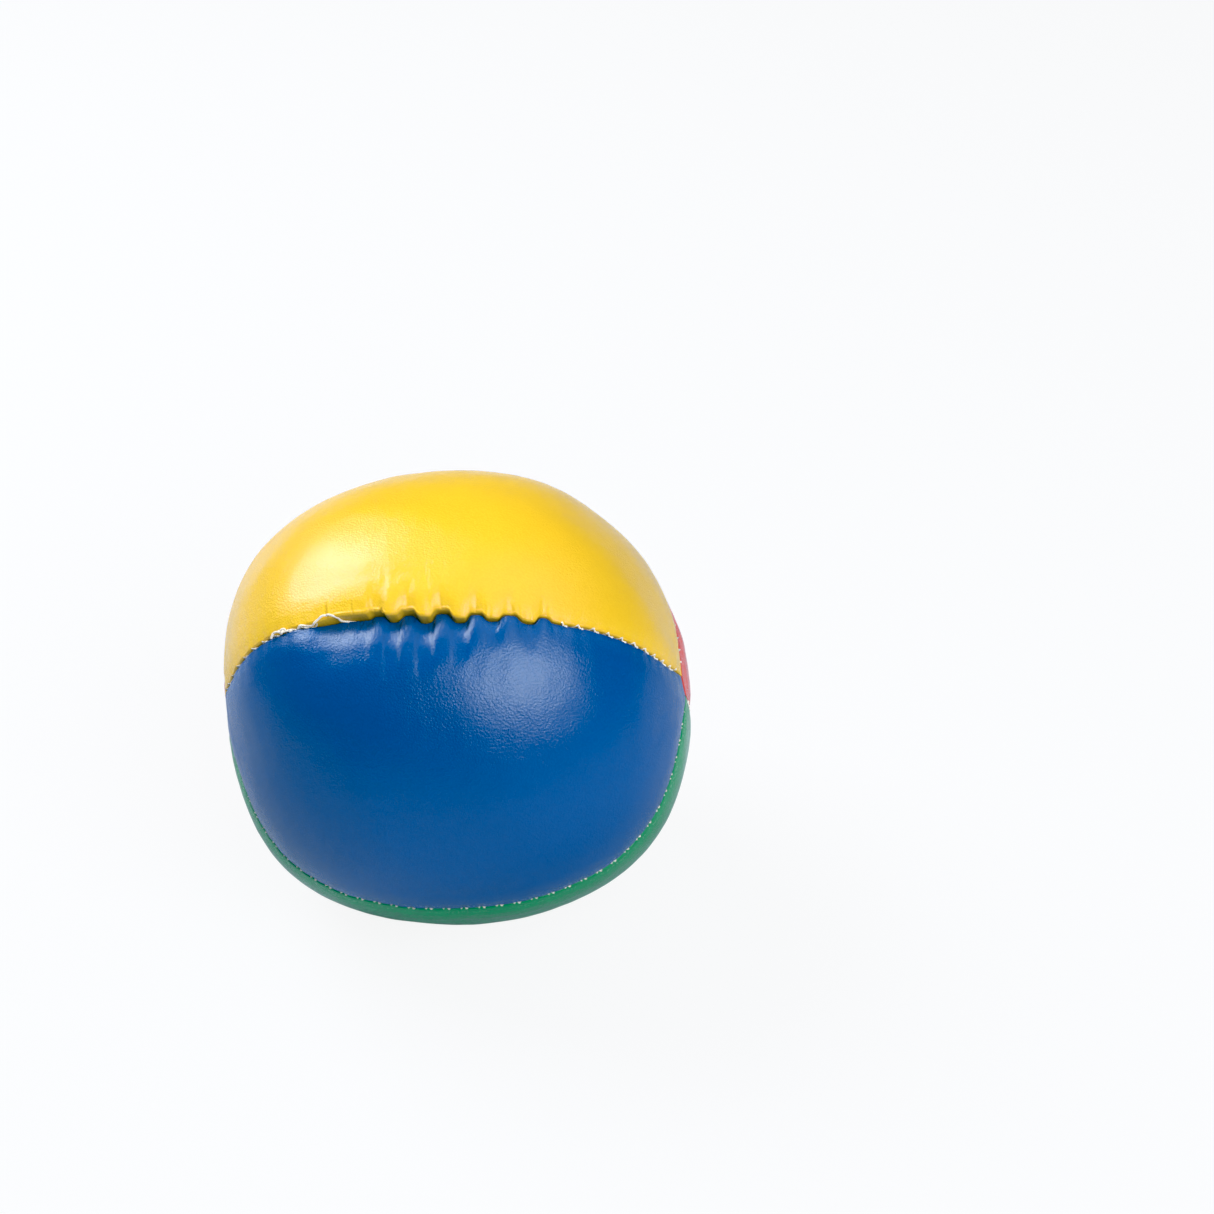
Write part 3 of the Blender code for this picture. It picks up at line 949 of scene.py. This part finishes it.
def build_grain_and_crease_shade_group():
    """Pebbled grain: rounded cells with creases between them, and finer pores on top, with a mask
    that paints shade into the creases.
    """
    tree, n = new_shader_group("pebble grain", {"Cell Size": 0.30 * MM, "Pore Size": 0.13 * MM},
                               ["Height", "Crease Shade"])
    given = n.add("NodeGroupInput").outputs
    place = n.object_place()
    cells = n.add("ShaderNodeTexVoronoi",
                  {"Vector": place, "Scale": n.math("DIVIDE", 1.0, given["Cell Size"]),
                   "Smoothness": 0.35}, feature="SMOOTH_F1").outputs["Distance"]
    pebble = n.ramp(cells, 0.15, 0.75, 1.0, 0.0)
    pores = n.noise(place, n.math("DIVIDE", 1.0, given["Pore Size"]), 2.0, Roughness=0.6)
    depth = n.ramp(n.noise(place, 500.0, 2.0), 0.3, 0.7, 0.5, 1.0)
    grain = n.math("MULTIPLY", pebble, depth)
    height = n.math("ADD", n.math("MULTIPLY", grain, 0.45), n.math("MULTIPLY", pores, 0.55))
    n.add("NodeGroupOutput", {"Height": height, "Crease Shade": n.math("SUBTRACT", 1.0, pebble)})
    return tree


def build_wear_and_groove_shade_group():
    """Where the panels are handled most, and a mask that paints shade into the groove right at the
    seams.
    """
    tree, n = new_shader_group("seam wear", {"Edge Width": 1.6, "Patchiness": 0.5},
                               ["Worn", "Groove Shade"])
    given = n.add("NodeGroupInput").outputs
    away = n.add("ShaderNodeAttribute", attribute_name="seam_away").outputs["Fac"]
    patches = n.noise(n.object_place(), 210.0, 4.0)
    broken = n.ramp(patches, 0.35, 0.65, n.math("SUBTRACT", 1.0, given["Patchiness"]))
    near = n.ramp(away, 0.9, n.math("ADD", given["Edge Width"], 0.9), 1.0, 0.0)
    # Painted shade: the groove right at the seam, where the panels dive in.
    groove_shade = n.ramp(away, 0.25, 0.95, 1.0, 0.0)
    worn = n.math("MULTIPLY", n.math("MULTIPLY", near, broken), n.math("SUBTRACT", 1.0, groove_shade))
    n.add("NodeGroupOutput", {"Worn": worn, "Groove Shade": groove_shade})
    return tree


GRAIN_AND_CREASE_SHADE = build_grain_and_crease_shade_group()
WEAR_AND_GROOVE_SHADE = build_wear_and_groove_shade_group()


# %% The four leatherettes
def new_material(name):
    material = bpy.data.materials.new(name)
    material.use_nodes = True
    material.node_tree.nodes.clear()
    return material, NodeBuilder(material.node_tree)


def mixed(n, share, first, second):
    """Two colours mixed by a share from 0 to 1."""
    node = n.add("ShaderNodeMix", {0: share, 6: first, 7: second}, data_type="RGBA")
    return node.outputs[2]


def surface(n, base, rough, height, strength, depth, **more):
    """The last nodes of a finish: a bump, a Principled surface and the way out."""
    bump = n.add("ShaderNodeBump", {"Height": height, "Strength": strength, "Distance": depth})
    inputs = {"Base Color": base, "Roughness": rough, "Normal": bump.outputs[0]}
    inputs |= {label.replace("_", " "): value for label, value in more.items()}
    body = n.add("ShaderNodeBsdfPrincipled", inputs)
    n.add("ShaderNodeOutputMaterial", {"Surface": body.outputs[0]})


def leatherette(name, colour, pale, deep, shine, roughness=0.19):
    """A coated leatherette in one colour, with its paler and deeper shades and its shine. The
    deeper shade also serves as painted shade in the grain's creases and in the seam groove.
    """
    material, n = new_material(name)
    grain = n.add("ShaderNodeGroup", node_tree=GRAIN_AND_CREASE_SHADE)
    wear_and_groove_shade = n.add("ShaderNodeGroup", node_tree=WEAR_AND_GROOVE_SHADE)
    cloudy = n.ramp(n.noise(n.object_place(), 45.0, 3.0), 0.35, 0.65)
    base = mixed(n, n.math("MULTIPLY", cloudy, 0.35), (*colour, 1), (*deep, 1))
    base = mixed(n, n.math("MULTIPLY", wear_and_groove_shade.outputs["Worn"], 0.30), base, (*pale, 1))
    # Painted shade: the colour darkens toward the deep tone in the creases between the grain's
    # cells.
    shade = n.math("MULTIPLY", grain.outputs["Crease Shade"], 0.45)
    base = mixed(n, shade, base, (*deep, 1))
    # Painted shade: the colour darkens toward the deep tone in the groove right at the seam.
    base = mixed(n, n.math("MULTIPLY", wear_and_groove_shade.outputs["Groove Shade"], 0.55), base, (*deep, 1))
    gloss = n.ramp(grain.outputs["Height"], 0.2, 0.8, roughness + 0.06, roughness - 0.03)
    rough = n.math("ADD", gloss, n.math("MULTIPLY", wear_and_groove_shade.outputs["Worn"], 0.06))
    surface(n, base, rough, grain.outputs["Height"], 0.75, 0.07 * MM,
            IOR=1.5, Specular_Tint=(*shine, 1))
    return material


LEATHERETTES = {
    "blue": leatherette("blue leatherette", (0.001, 0.070, 0.285), (0.015, 0.13, 0.40),
                        (0.0006, 0.052, 0.225), (0.85, 0.95, 1.0)),
    "yellow": leatherette("yellow leatherette", (0.83, 0.55, 0.024), (0.88, 0.63, 0.06),
                          (0.76, 0.46, 0.010), (0.8, 0.45, 1.0)),
    "red": leatherette("red leatherette", (0.74, 0.046, 0.022), (0.82, 0.09, 0.05),
                       (0.60, 0.032, 0.014), (1.0, 0.8, 0.8)),
    "green": leatherette("green leatherette", (0.002, 0.275, 0.085), (0.03, 0.38, 0.15),
                         (0.001, 0.20, 0.06), (0.9, 1.0, 0.95)),
}
for panel, piece in COVERS.items():
    piece.data.materials.append(LEATHERETTES[panel])

# %% Thread and millet
def spun_thread():
    """Polyester sewing thread: off-white, dull, with fibres lying along the plies."""
    material, n = new_material("seam thread")
    fibres = n.noise(n.object_place(), 9000.0, 2.0)
    base = mixed(n, n.ramp(fibres, 0.3, 0.7), (0.70, 0.66, 0.56, 1), (0.90, 0.87, 0.80, 1))
    surface(n, base, 0.75, fibres, 0.6, 0.03 * MM, Sheen_Weight=0.3)
    return material


def millet():
    """Hulled millet: small dull straw-coloured grains, no two quite alike."""
    material, n = new_material("millet")
    place = n.object_place()
    lot, speck = n.noise(place, 600.0, 1.0), n.noise(place, 3500.0, 3.0)
    base = mixed(n, n.ramp(lot, 0.35, 0.65), (0.50, 0.30, 0.09, 1), (0.74, 0.53, 0.23, 1))
    base = mixed(n, n.ramp(speck, 0.55, 0.75, 0.0, 0.5), base, (0.30, 0.16, 0.05, 1))
    surface(n, base, 0.55, speck, 0.4, 0.05 * MM)
    return material


THREAD = spun_thread()
MILLET = millet()

# %% Sew the four machine seams
THREAD_SIZES = {"Crossing Share": CROSSING_SHARE, "Dive": 0.9 * MM, "Plies": 3,
                "Ply Depth": 0.09, "Twist Length": 0.9 * MM, "Unevenness": 0.22 * MM,
                "Seed": 3, "Material": THREAD}
THIN, THICK = 0.11 * MM, 0.14 * MM  # thread radius where it is drawn tight, and elsewhere
END_GAP = 0.8 * MM


def machine_seam(name, seam, half_width, radius, rise, start, end):
    """Machine stitches along part of a seam, in step with the dips in the leatherette."""
    pitch = WALKS[seam].length / stitch_count(WALKS[seam])
    first, last = math.ceil(start / pitch), math.floor(end / pitch)
    line = seam_line(name, seam, first * pitch, last * pitch)
    sizes = dict(THREAD_SIZES, Stitches=last - first, Steps=24, Rise=rise)
    sizes |= {"Half Width": half_width, "Thread Radius": radius}
    return grown_mesh(name, line, STITCH_TREE, sizes)


def whole(seam):
    """Start and end of a thread that runs from tip to tip."""
    return END_GAP, WALKS[seam].length - END_GAP


# Seam, half width, thread radius, rise, start and end. Where a seam is tight, the thread
# lies deep and narrow.
THREADS = {
    "blue_green_stitches": ("blue_green", 0.15 * MM, THIN, -0.26 * MM, *whole("blue_green")),
    "green_red_stitches": ("green_red", 0.27 * MM, THICK, -0.04 * MM, *whole("green_red")),
    "red_yellow_stitches": ("red_yellow", 0.27 * MM, THICK, -0.04 * MM, *whole("red_yellow")),
    "yellow_blue_left_stitches": ("yellow_blue", 0.13 * MM, THIN, -0.36 * MM,
                                  END_GAP, CLOSING_SPAN[0]),
    "yellow_blue_right_stitches": ("yellow_blue", 0.22 * MM, THICK, -0.12 * MM,
                                   CLOSING_SPAN[1], CLOSING.length - END_GAP),
}
SEWN = {name: machine_seam(name, *stretch) for name, stretch in THREADS.items()}

# %% [markdown]
# The filling hole is closed by hand with one thread. It starts in a knot, shows for a few
# millimetres along the yellow edge, and then runs from side to side under the gathers. Its
# route is a short list of places, joined into one smooth line. The stitch tree gives it a
# body too, with its winding set to nothing.

# %% Route of the closing thread
# X, way across towards yellow, and height, in mm: the tail before the knot, the stretch that
# shows after it, and the end that stays hidden.
TAIL = ((-22.9, -0.35, 0.25), (-22.4, 0.25, 0.38))
EXPOSED = ((-20.3, 0.10, -0.25), (-19.6, 0.0, -0.45), (-19.0, 0.22, 0.06), (-18.3, 0.12, -0.30),
           (-17.6, 0.0, -0.45), (-17.0, 0.10, 0.05), (-16.5, 0.34, 0.14), (-16.0, 0.50, 0.28),
           (-15.3, 0.46, 0.24), (-14.8, 0.30, 0.05), (-14.3, 0.10, -0.60), (-13.6, -0.1, -1.9))
LAST = ((13.4, 0.1, -2.8), (14.2, 0.0, -3.0))
KNOT_AT = (-21.4 * MM, 0.12 * MM, 0.22 * MM)
HIDDEN_SWING, HIDDEN_HEIGHT = 0.35 * MM, -3.2 * MM


def smooth_line(places, steps):
    """A smooth line through places: a Catmull-Rom curve with so many steps in each span."""
    places = np.asarray(places, float)
    padded = np.vstack([2 * places[0] - places[1], places, 2 * places[-1] - places[-2]])
    share = np.linspace(0, 1, steps, endpoint=False)[:, None]
    spans = []
    for before, start, end, after in zip(padded, padded[1:], padded[2:], padded[3:]):
        straight = 2 * start + (end - before) * share
        bend = (2 * before - 5 * start + 4 * end - after) * share ** 2
        twist = (3 * start - before - 3 * end + after) * share ** 3
        spans.append((straight + bend + twist) / 2)
    return np.vstack(spans + [places[-1:]])


def knot_loops(distance, across, height):
    """An overhand knot: a trefoil, flattened onto the seam."""
    turn = np.linspace(0.25, 2 * math.pi - 0.25, 40)
    along_seam = distance + 0.19 * MM * (np.sin(turn) + 2 * np.sin(2 * turn))
    over = across + 0.10 * MM * (np.cos(turn) - 2 * np.cos(2 * turn))
    lift = height - 0.13 * MM * np.sin(3 * turn)
    return np.stack([along_seam, over, lift], -1)


def from_x(places):
    """Places as distance along the seam, way across towards yellow, and height."""
    return [[CLOSING.distance_at_x(x * MM), over * MM, lift * MM] for x, over, lift in places]


def closing_route():
    """The whole route: tail, knot, exposed stretch and the way under the gathers."""
    knot_x, knot_over, knot_lift = KNOT_AT
    knot = knot_loops(CLOSING.distance_at_x(knot_x), knot_over, knot_lift)
    hidden = []
    for before, after in zip(GATHERS, GATHERS[1:]):
        side = 1 if len(hidden) % 2 else -1
        hidden.append([(before + after) / 2, HIDDEN_SWING * side, HIDDEN_HEIGHT])
    places = [from_x(TAIL), knot, from_x(EXPOSED), hidden, from_x(LAST)]
    return smooth_line(np.vstack(places), 12)


def sew_closing_thread():
    distance, over, lift = closing_route().T
    t = CLOSING.t_at(distance)
    point, normal, across = seam_basis("yellow_blue", t)
    over = over + seam_swing("yellow_blue", distance)
    lift = lift + np.interp(distance, *EDGE_HEIGHTS["yellow", "yellow_blue"])
    line = point + across * over[:, None] + normal * lift[:, None]
    mesh = line_mesh("closing_thread", line, normal, across)
    sizes = dict(THREAD_SIZES, Stitches=1, Steps=900)
    sizes |= {"Half Width": 0.0, "Rise": 0.0, "Dive": 0.0, "Unevenness": 0.0,
              "Thread Radius": THICK}
    return grown_mesh("closing_stitches", mesh, STITCH_TREE, sizes)


SEWN["closing_stitches"] = sew_closing_thread()

# %% [markdown]
# ## The millet
#
# What fills the ball is thousands of loose grains. None of them shows, but they fill the
# space under the skin, so the outer layers are real grains: Geometry Nodes scatter points
# over a hidden sheet, keep them a grain apart and set a small squashed ball on each. A
# closed core fills the middle. A particle system could do the same, but its grains are
# lost when the piece is exported; the tree ends by making them real.

# %% Scatter the grains
GRAIN_RADIUS = 0.82 * MM
GRAIN_DEPTHS = (2.15 * MM, 3.65 * MM)
CORE_DEPTH = 4.7 * MM
SEAM_CLEARANCE = 2.1 * MM           # grains keep off the turned-in edges
BASE_CLEARANCE = 1.9 * MM           # and off the floor
SHEET_STATIONS, SHEET_ROWS = 60, 24


def build_grain_tree():
    tree, n = new_geometry_tree("scattered grains", {
        "Grain Radius": "Float", "Apart": "Float", "Density": "Float", "Seed": "Int",
        "Core": "Object", "Material": "Material"})
    given = n.add("NodeGroupInput").outputs
    spots = n.add("GeometryNodeDistributePointsOnFaces",
                  {"Mesh": given["Geometry"], "Distance Min": given["Apart"],
                   "Density Max": given["Density"], "Seed": given["Seed"]},
                  distribute_method="POISSON").outputs[0]
    grain = n.add("GeometryNodeMeshUVSphere", {"Segments": 6, "Rings": 4,
                                               "Radius": given["Grain Radius"]}).outputs[0]
    turn = n.add("FunctionNodeRandomValue", {"Max": (6.28, 6.28, 6.28), "Seed": given["Seed"]},
                 data_type="FLOAT_VECTOR").outputs[0]
    size = n.add("FunctionNodeRandomValue",
                 {"Min": (0.86, 0.86, 0.74), "Max": (1.0, 1.0, 0.92), "Seed": given["Seed"]},
                 data_type="FLOAT_VECTOR").outputs[0]
    laid = n.add("GeometryNodeInstanceOnPoints", {"Points": spots, "Instance": grain,
                                                  "Rotation": turn, "Scale": size}).outputs[0]
    real = n.add("GeometryNodeRealizeInstances", {"Geometry": laid}).outputs[0]
    core = n.add("GeometryNodeObjectInfo", {"Object": given["Core"]}).outputs["Geometry"]
    both = n.add("GeometryNodeJoinGeometry").outputs[0]
    for part in (real, core):
        tree.links.new(part, both.node.inputs[0])
    smooth = n.add("GeometryNodeSetShadeSmooth", {"Geometry": both}).outputs[0]
    done = n.add("GeometryNodeSetMaterial", {"Geometry": smooth, "Material": given["Material"]})
    n.add("NodeGroupOutput", {"Geometry": done.outputs[0]})
    return tree


def inner_sheet(depth, clear):
    """Sheets of points under the four panels, set back from the seams between them."""
    vertices, faces = [], []
    places = np.linspace(0.12, math.pi - 0.12, SHEET_STATIONS)[:, None]
    for panel in PANELS:
        turn = panel_angle(panel, places, 1.0) - panel_angle(panel, places, 0.0)
        margin = np.minimum(clear / (ring_radius(places) * turn), 0.49)
        across = margin + (1 - 2 * margin) * np.linspace(0, 1, SHEET_ROWS)[None, :]
        points = form(panel, places, across) - form_normal(panel, places, across) * depth
        points[..., 2] = np.maximum(points[..., 2], BASE_CLEARANCE)
        index = np.arange(SHEET_STATIONS * SHEET_ROWS) + len(vertices)
        index = index.reshape(SHEET_STATIONS, SHEET_ROWS)
        vertices.extend(points.reshape(-1, 3).tolist())
        corners = [index[:-1, :-1], index[:-1, 1:], index[1:, 1:], index[1:, :-1]]
        faces.extend(np.stack(corners, -1).reshape(-1, 4).tolist())
    return vertices, faces


def millet_core():
    """A closed lump in the middle, made of the form's rings drawn in from the skin."""
    rings, sectors = 40, 96
    across = np.arange(sectors // 4) / (sectors // 4)
    bm = bmesh.new()
    middle = np.array([0.0, 0.0, AXIS_HEIGHT])
    columns = []
    for place in np.linspace(0.16, math.pi - 0.16, rings):
        points = np.concatenate([form(panel, place, across) for panel in PANELS])
        column = (points + unit(middle - points) * CORE_DEPTH).tolist()
        columns.append([bm.verts.new(point) for point in column])
    for one, other in zip(columns, columns[1:]):
        for n in range(sectors):
            m = (n + 1) % sectors
            bm.faces.new((one[n], one[m], other[m], other[n]))
    bm.faces.new(columns[0][::-1])
    bm.faces.new(columns[-1])
    bmesh.ops.recalc_face_normals(bm, faces=bm.faces)
    mesh = bpy.data.meshes.new("millet_core")
    bm.to_mesh(mesh)
    bm.free()
    return add_piece("millet_core", mesh)


def pour_millet():
    vertices, faces = [], []
    for depth in GRAIN_DEPTHS:
        more, corners = inner_sheet(depth, SEAM_CLEARANCE)
        faces.extend([[v + len(vertices) for v in face] for face in corners])
        vertices.extend(more)
    sheet = bpy.data.meshes.new("millet_sheet")
    sheet.from_pydata(vertices, [], faces)
    core = millet_core()
    grains = grown_mesh("millet_grains", sheet, build_grain_tree(), {
        "Grain Radius": GRAIN_RADIUS, "Apart": 1.75 * MM, "Density": 6.0e5, "Seed": 7,
        "Core": core, "Material": MILLET})
    discard(core)
    return grains


GRAINS = pour_millet()

# %% [markdown]
# ## Floor, light and camera
#
# Toys like this are often shown on white card that runs up behind them. Here the card is one
# big square, a hair under z = 0 so that it never meets the leatherette that rests there.
#
# White card lit from above throws a lot of light back up at the ball and washes out its lower
# half. The floor therefore has two looks. To the camera it glows a little, so that it reads as
# white. To every other ray it is a cool middle grey, so that the ball gets less light from below.

# %% Floor
FLOOR_HALF = 4.0
FLOOR_DROP = 0.03 * MM
FLOOR_SHADE = (0.48, 0.54, 0.64, 1)
FLOOR_GLOW = 0.90


def make_floor():
    mesh = bpy.data.meshes.new("floor")
    corners = [(-1, -1), (1, -1), (1, 1), (-1, 1)]
    mesh.from_pydata([(x * FLOOR_HALF, y * FLOOR_HALF, -FLOOR_DROP) for x, y in corners],
                     [], [(0, 1, 2, 3)])
    material, n = new_material("pale floor")
    card = n.add("ShaderNodeBsdfDiffuse", {"Color": FLOOR_SHADE})
    glow = n.add("ShaderNodeEmission", {"Color": (1, 1, 1, 1), "Strength": 1.0})
    seen = n.add("ShaderNodeLightPath").outputs["Is Camera Ray"]
    surface = n.add("ShaderNodeMixShader", {0: n.math("MULTIPLY", seen, FLOOR_GLOW),
                                            1: card.outputs[0], 2: glow.outputs[0]})
    n.add("ShaderNodeOutputMaterial", {"Surface": surface.outputs[0]})
    mesh.materials.append(material)
    add_piece("floor", mesh)


make_floor()

# %% [markdown]
# Three soft boxes light the ball. The one in front on the right leaves the patch of shine on
# the blue panel, and the one behind on the left leaves the patch on the yellow panel. The big
# one, high up on the right, fills in the top. A small light makes a small hard patch of shine
# and a large one a wide soft patch, so these boxes are sized by the patches they should leave.

# %% Soft boxes
def soft_box(name, azimuth, elevation, distance, width, height, power):
    """A rectangular soft light. Azimuth is measured from the camera's side to its right."""
    light = bpy.data.lights.new(name, "AREA")
    light.shape = "RECTANGLE"
    light.size, light.size_y, light.energy = width, height, power
    lamp = bpy.data.objects.new(name, light)
    a, e = math.radians(azimuth), math.radians(elevation)
    way = Vector((math.sin(a) * math.cos(e), -math.cos(a) * math.cos(e), math.sin(e)))
    lamp.location = way * distance + Vector((0, 0, AXIS_HEIGHT))
    lamp.rotation_euler = way.to_track_quat("Z", "Y").to_euler()
    bpy.context.scene.collection.objects.link(lamp)


# Angles in degrees, then distance, width and height in metres, then power in watts.
soft_box("front soft box", 34, 38, 0.60, 0.45, 0.36, 3.6)
soft_box("back soft box", -125, 44, 0.50, 0.34, 0.32, 3.0)
soft_box("ceiling", 100, 68, 1.20, 1.20, 1.20, 4.4)

# %% [markdown]
# The room round the card is nearly dark where it lights the ball and pale where the camera sees
# it, by the same trick as the floor. The view is Blender's plain Standard one, which keeps
# strong colours strong. A small black level on red deepens the blue.

# %% Surroundings and view
world = bpy.data.worlds.new("dim studio")
world.use_nodes = True
world.node_tree.nodes.clear()
n = NodeBuilder(world.node_tree)
seen = n.add("ShaderNodeLightPath").outputs["Is Camera Ray"]
dark = n.add("ShaderNodeBackground", {"Color": (1, 1, 1, 1), "Strength": 0.03})
pale = n.add("ShaderNodeBackground", {"Color": (1, 1, 1, 1), "Strength": 0.95})
sky = n.add("ShaderNodeMixShader", {0: seen, 1: dark.outputs[0], 2: pale.outputs[0]})
n.add("ShaderNodeOutputWorld", {"Surface": sky.outputs[0]})
bpy.context.scene.world = world
view = bpy.context.scene.view_settings
view.view_transform = "Standard"
view.use_curve_mapping = True
view.curve_mapping.black_level = (0.022, 0.0, 0.0)
view.curve_mapping.update()

# %% [markdown]
# The camera stands in front of the blue panel and looks down on the ball by about 35 degrees, as
# someone sees a ball on a table in front of them. It is level, and it is moved a little to the
# right and up so that the ball sits left of the middle and below it.

# %% Camera
CAMERA_TILT = math.radians(34.75)
CAMERA_LENS = 73.99                 # mm, on a sensor 36 mm wide
CAMERA_BACK = 343.6 * MM
CAMERA_RIGHT = 20.27 * MM
CAMERA_UP = 12.54 * MM
camera_data = bpy.data.cameras.new("camera")
camera_data.lens = CAMERA_LENS
camera_data.sensor_width = 36.0
camera_data.clip_start = 0.01
camera = bpy.data.objects.new("camera", camera_data)
bpy.context.scene.collection.objects.link(camera)
bpy.context.scene.camera = camera
right = Vector((1, 0, 0))
up = Vector((0, math.sin(CAMERA_TILT), math.cos(CAMERA_TILT)))
back = Vector((0, -math.cos(CAMERA_TILT), math.sin(CAMERA_TILT)))
camera.location = (Vector((0, 0, AXIS_HEIGHT)) + back * CAMERA_BACK + right * CAMERA_RIGHT
                   + up * CAMERA_UP)
camera.rotation_euler = back.to_track_quat("Z", "Y").to_euler()

# %% [markdown]
# ## Put the pieces in place of the CAD parts
#
# Every piece takes the place of one part of the CAD. All of them ride the same body, because
# a sewn ball has no joint that turns or slides.

# %% Which CAD part each piece stands for
NODE_OF = {"blue_cover": "blue_panel",
           "yellow_cover": "yellow_panel",
           "red_cover": "red_panel",
           "green_cover": "green_panel",
           "blue_green_stitches": "seam_thread_blue_green",
           "green_red_stitches": "seam_thread_green_red",
           "red_yellow_stitches": "seam_thread_red_yellow",
           "yellow_blue_left_stitches": "seam_thread_yellow_blue_left",
           "yellow_blue_right_stitches": "seam_thread_yellow_blue_right",
           "closing_stitches": "closing_thread",
           "millet_grains": "millet_filling"}
for name, node in NODE_OF.items():
    piece = bpy.data.objects[name]
    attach(piece, "root")
    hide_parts(node)
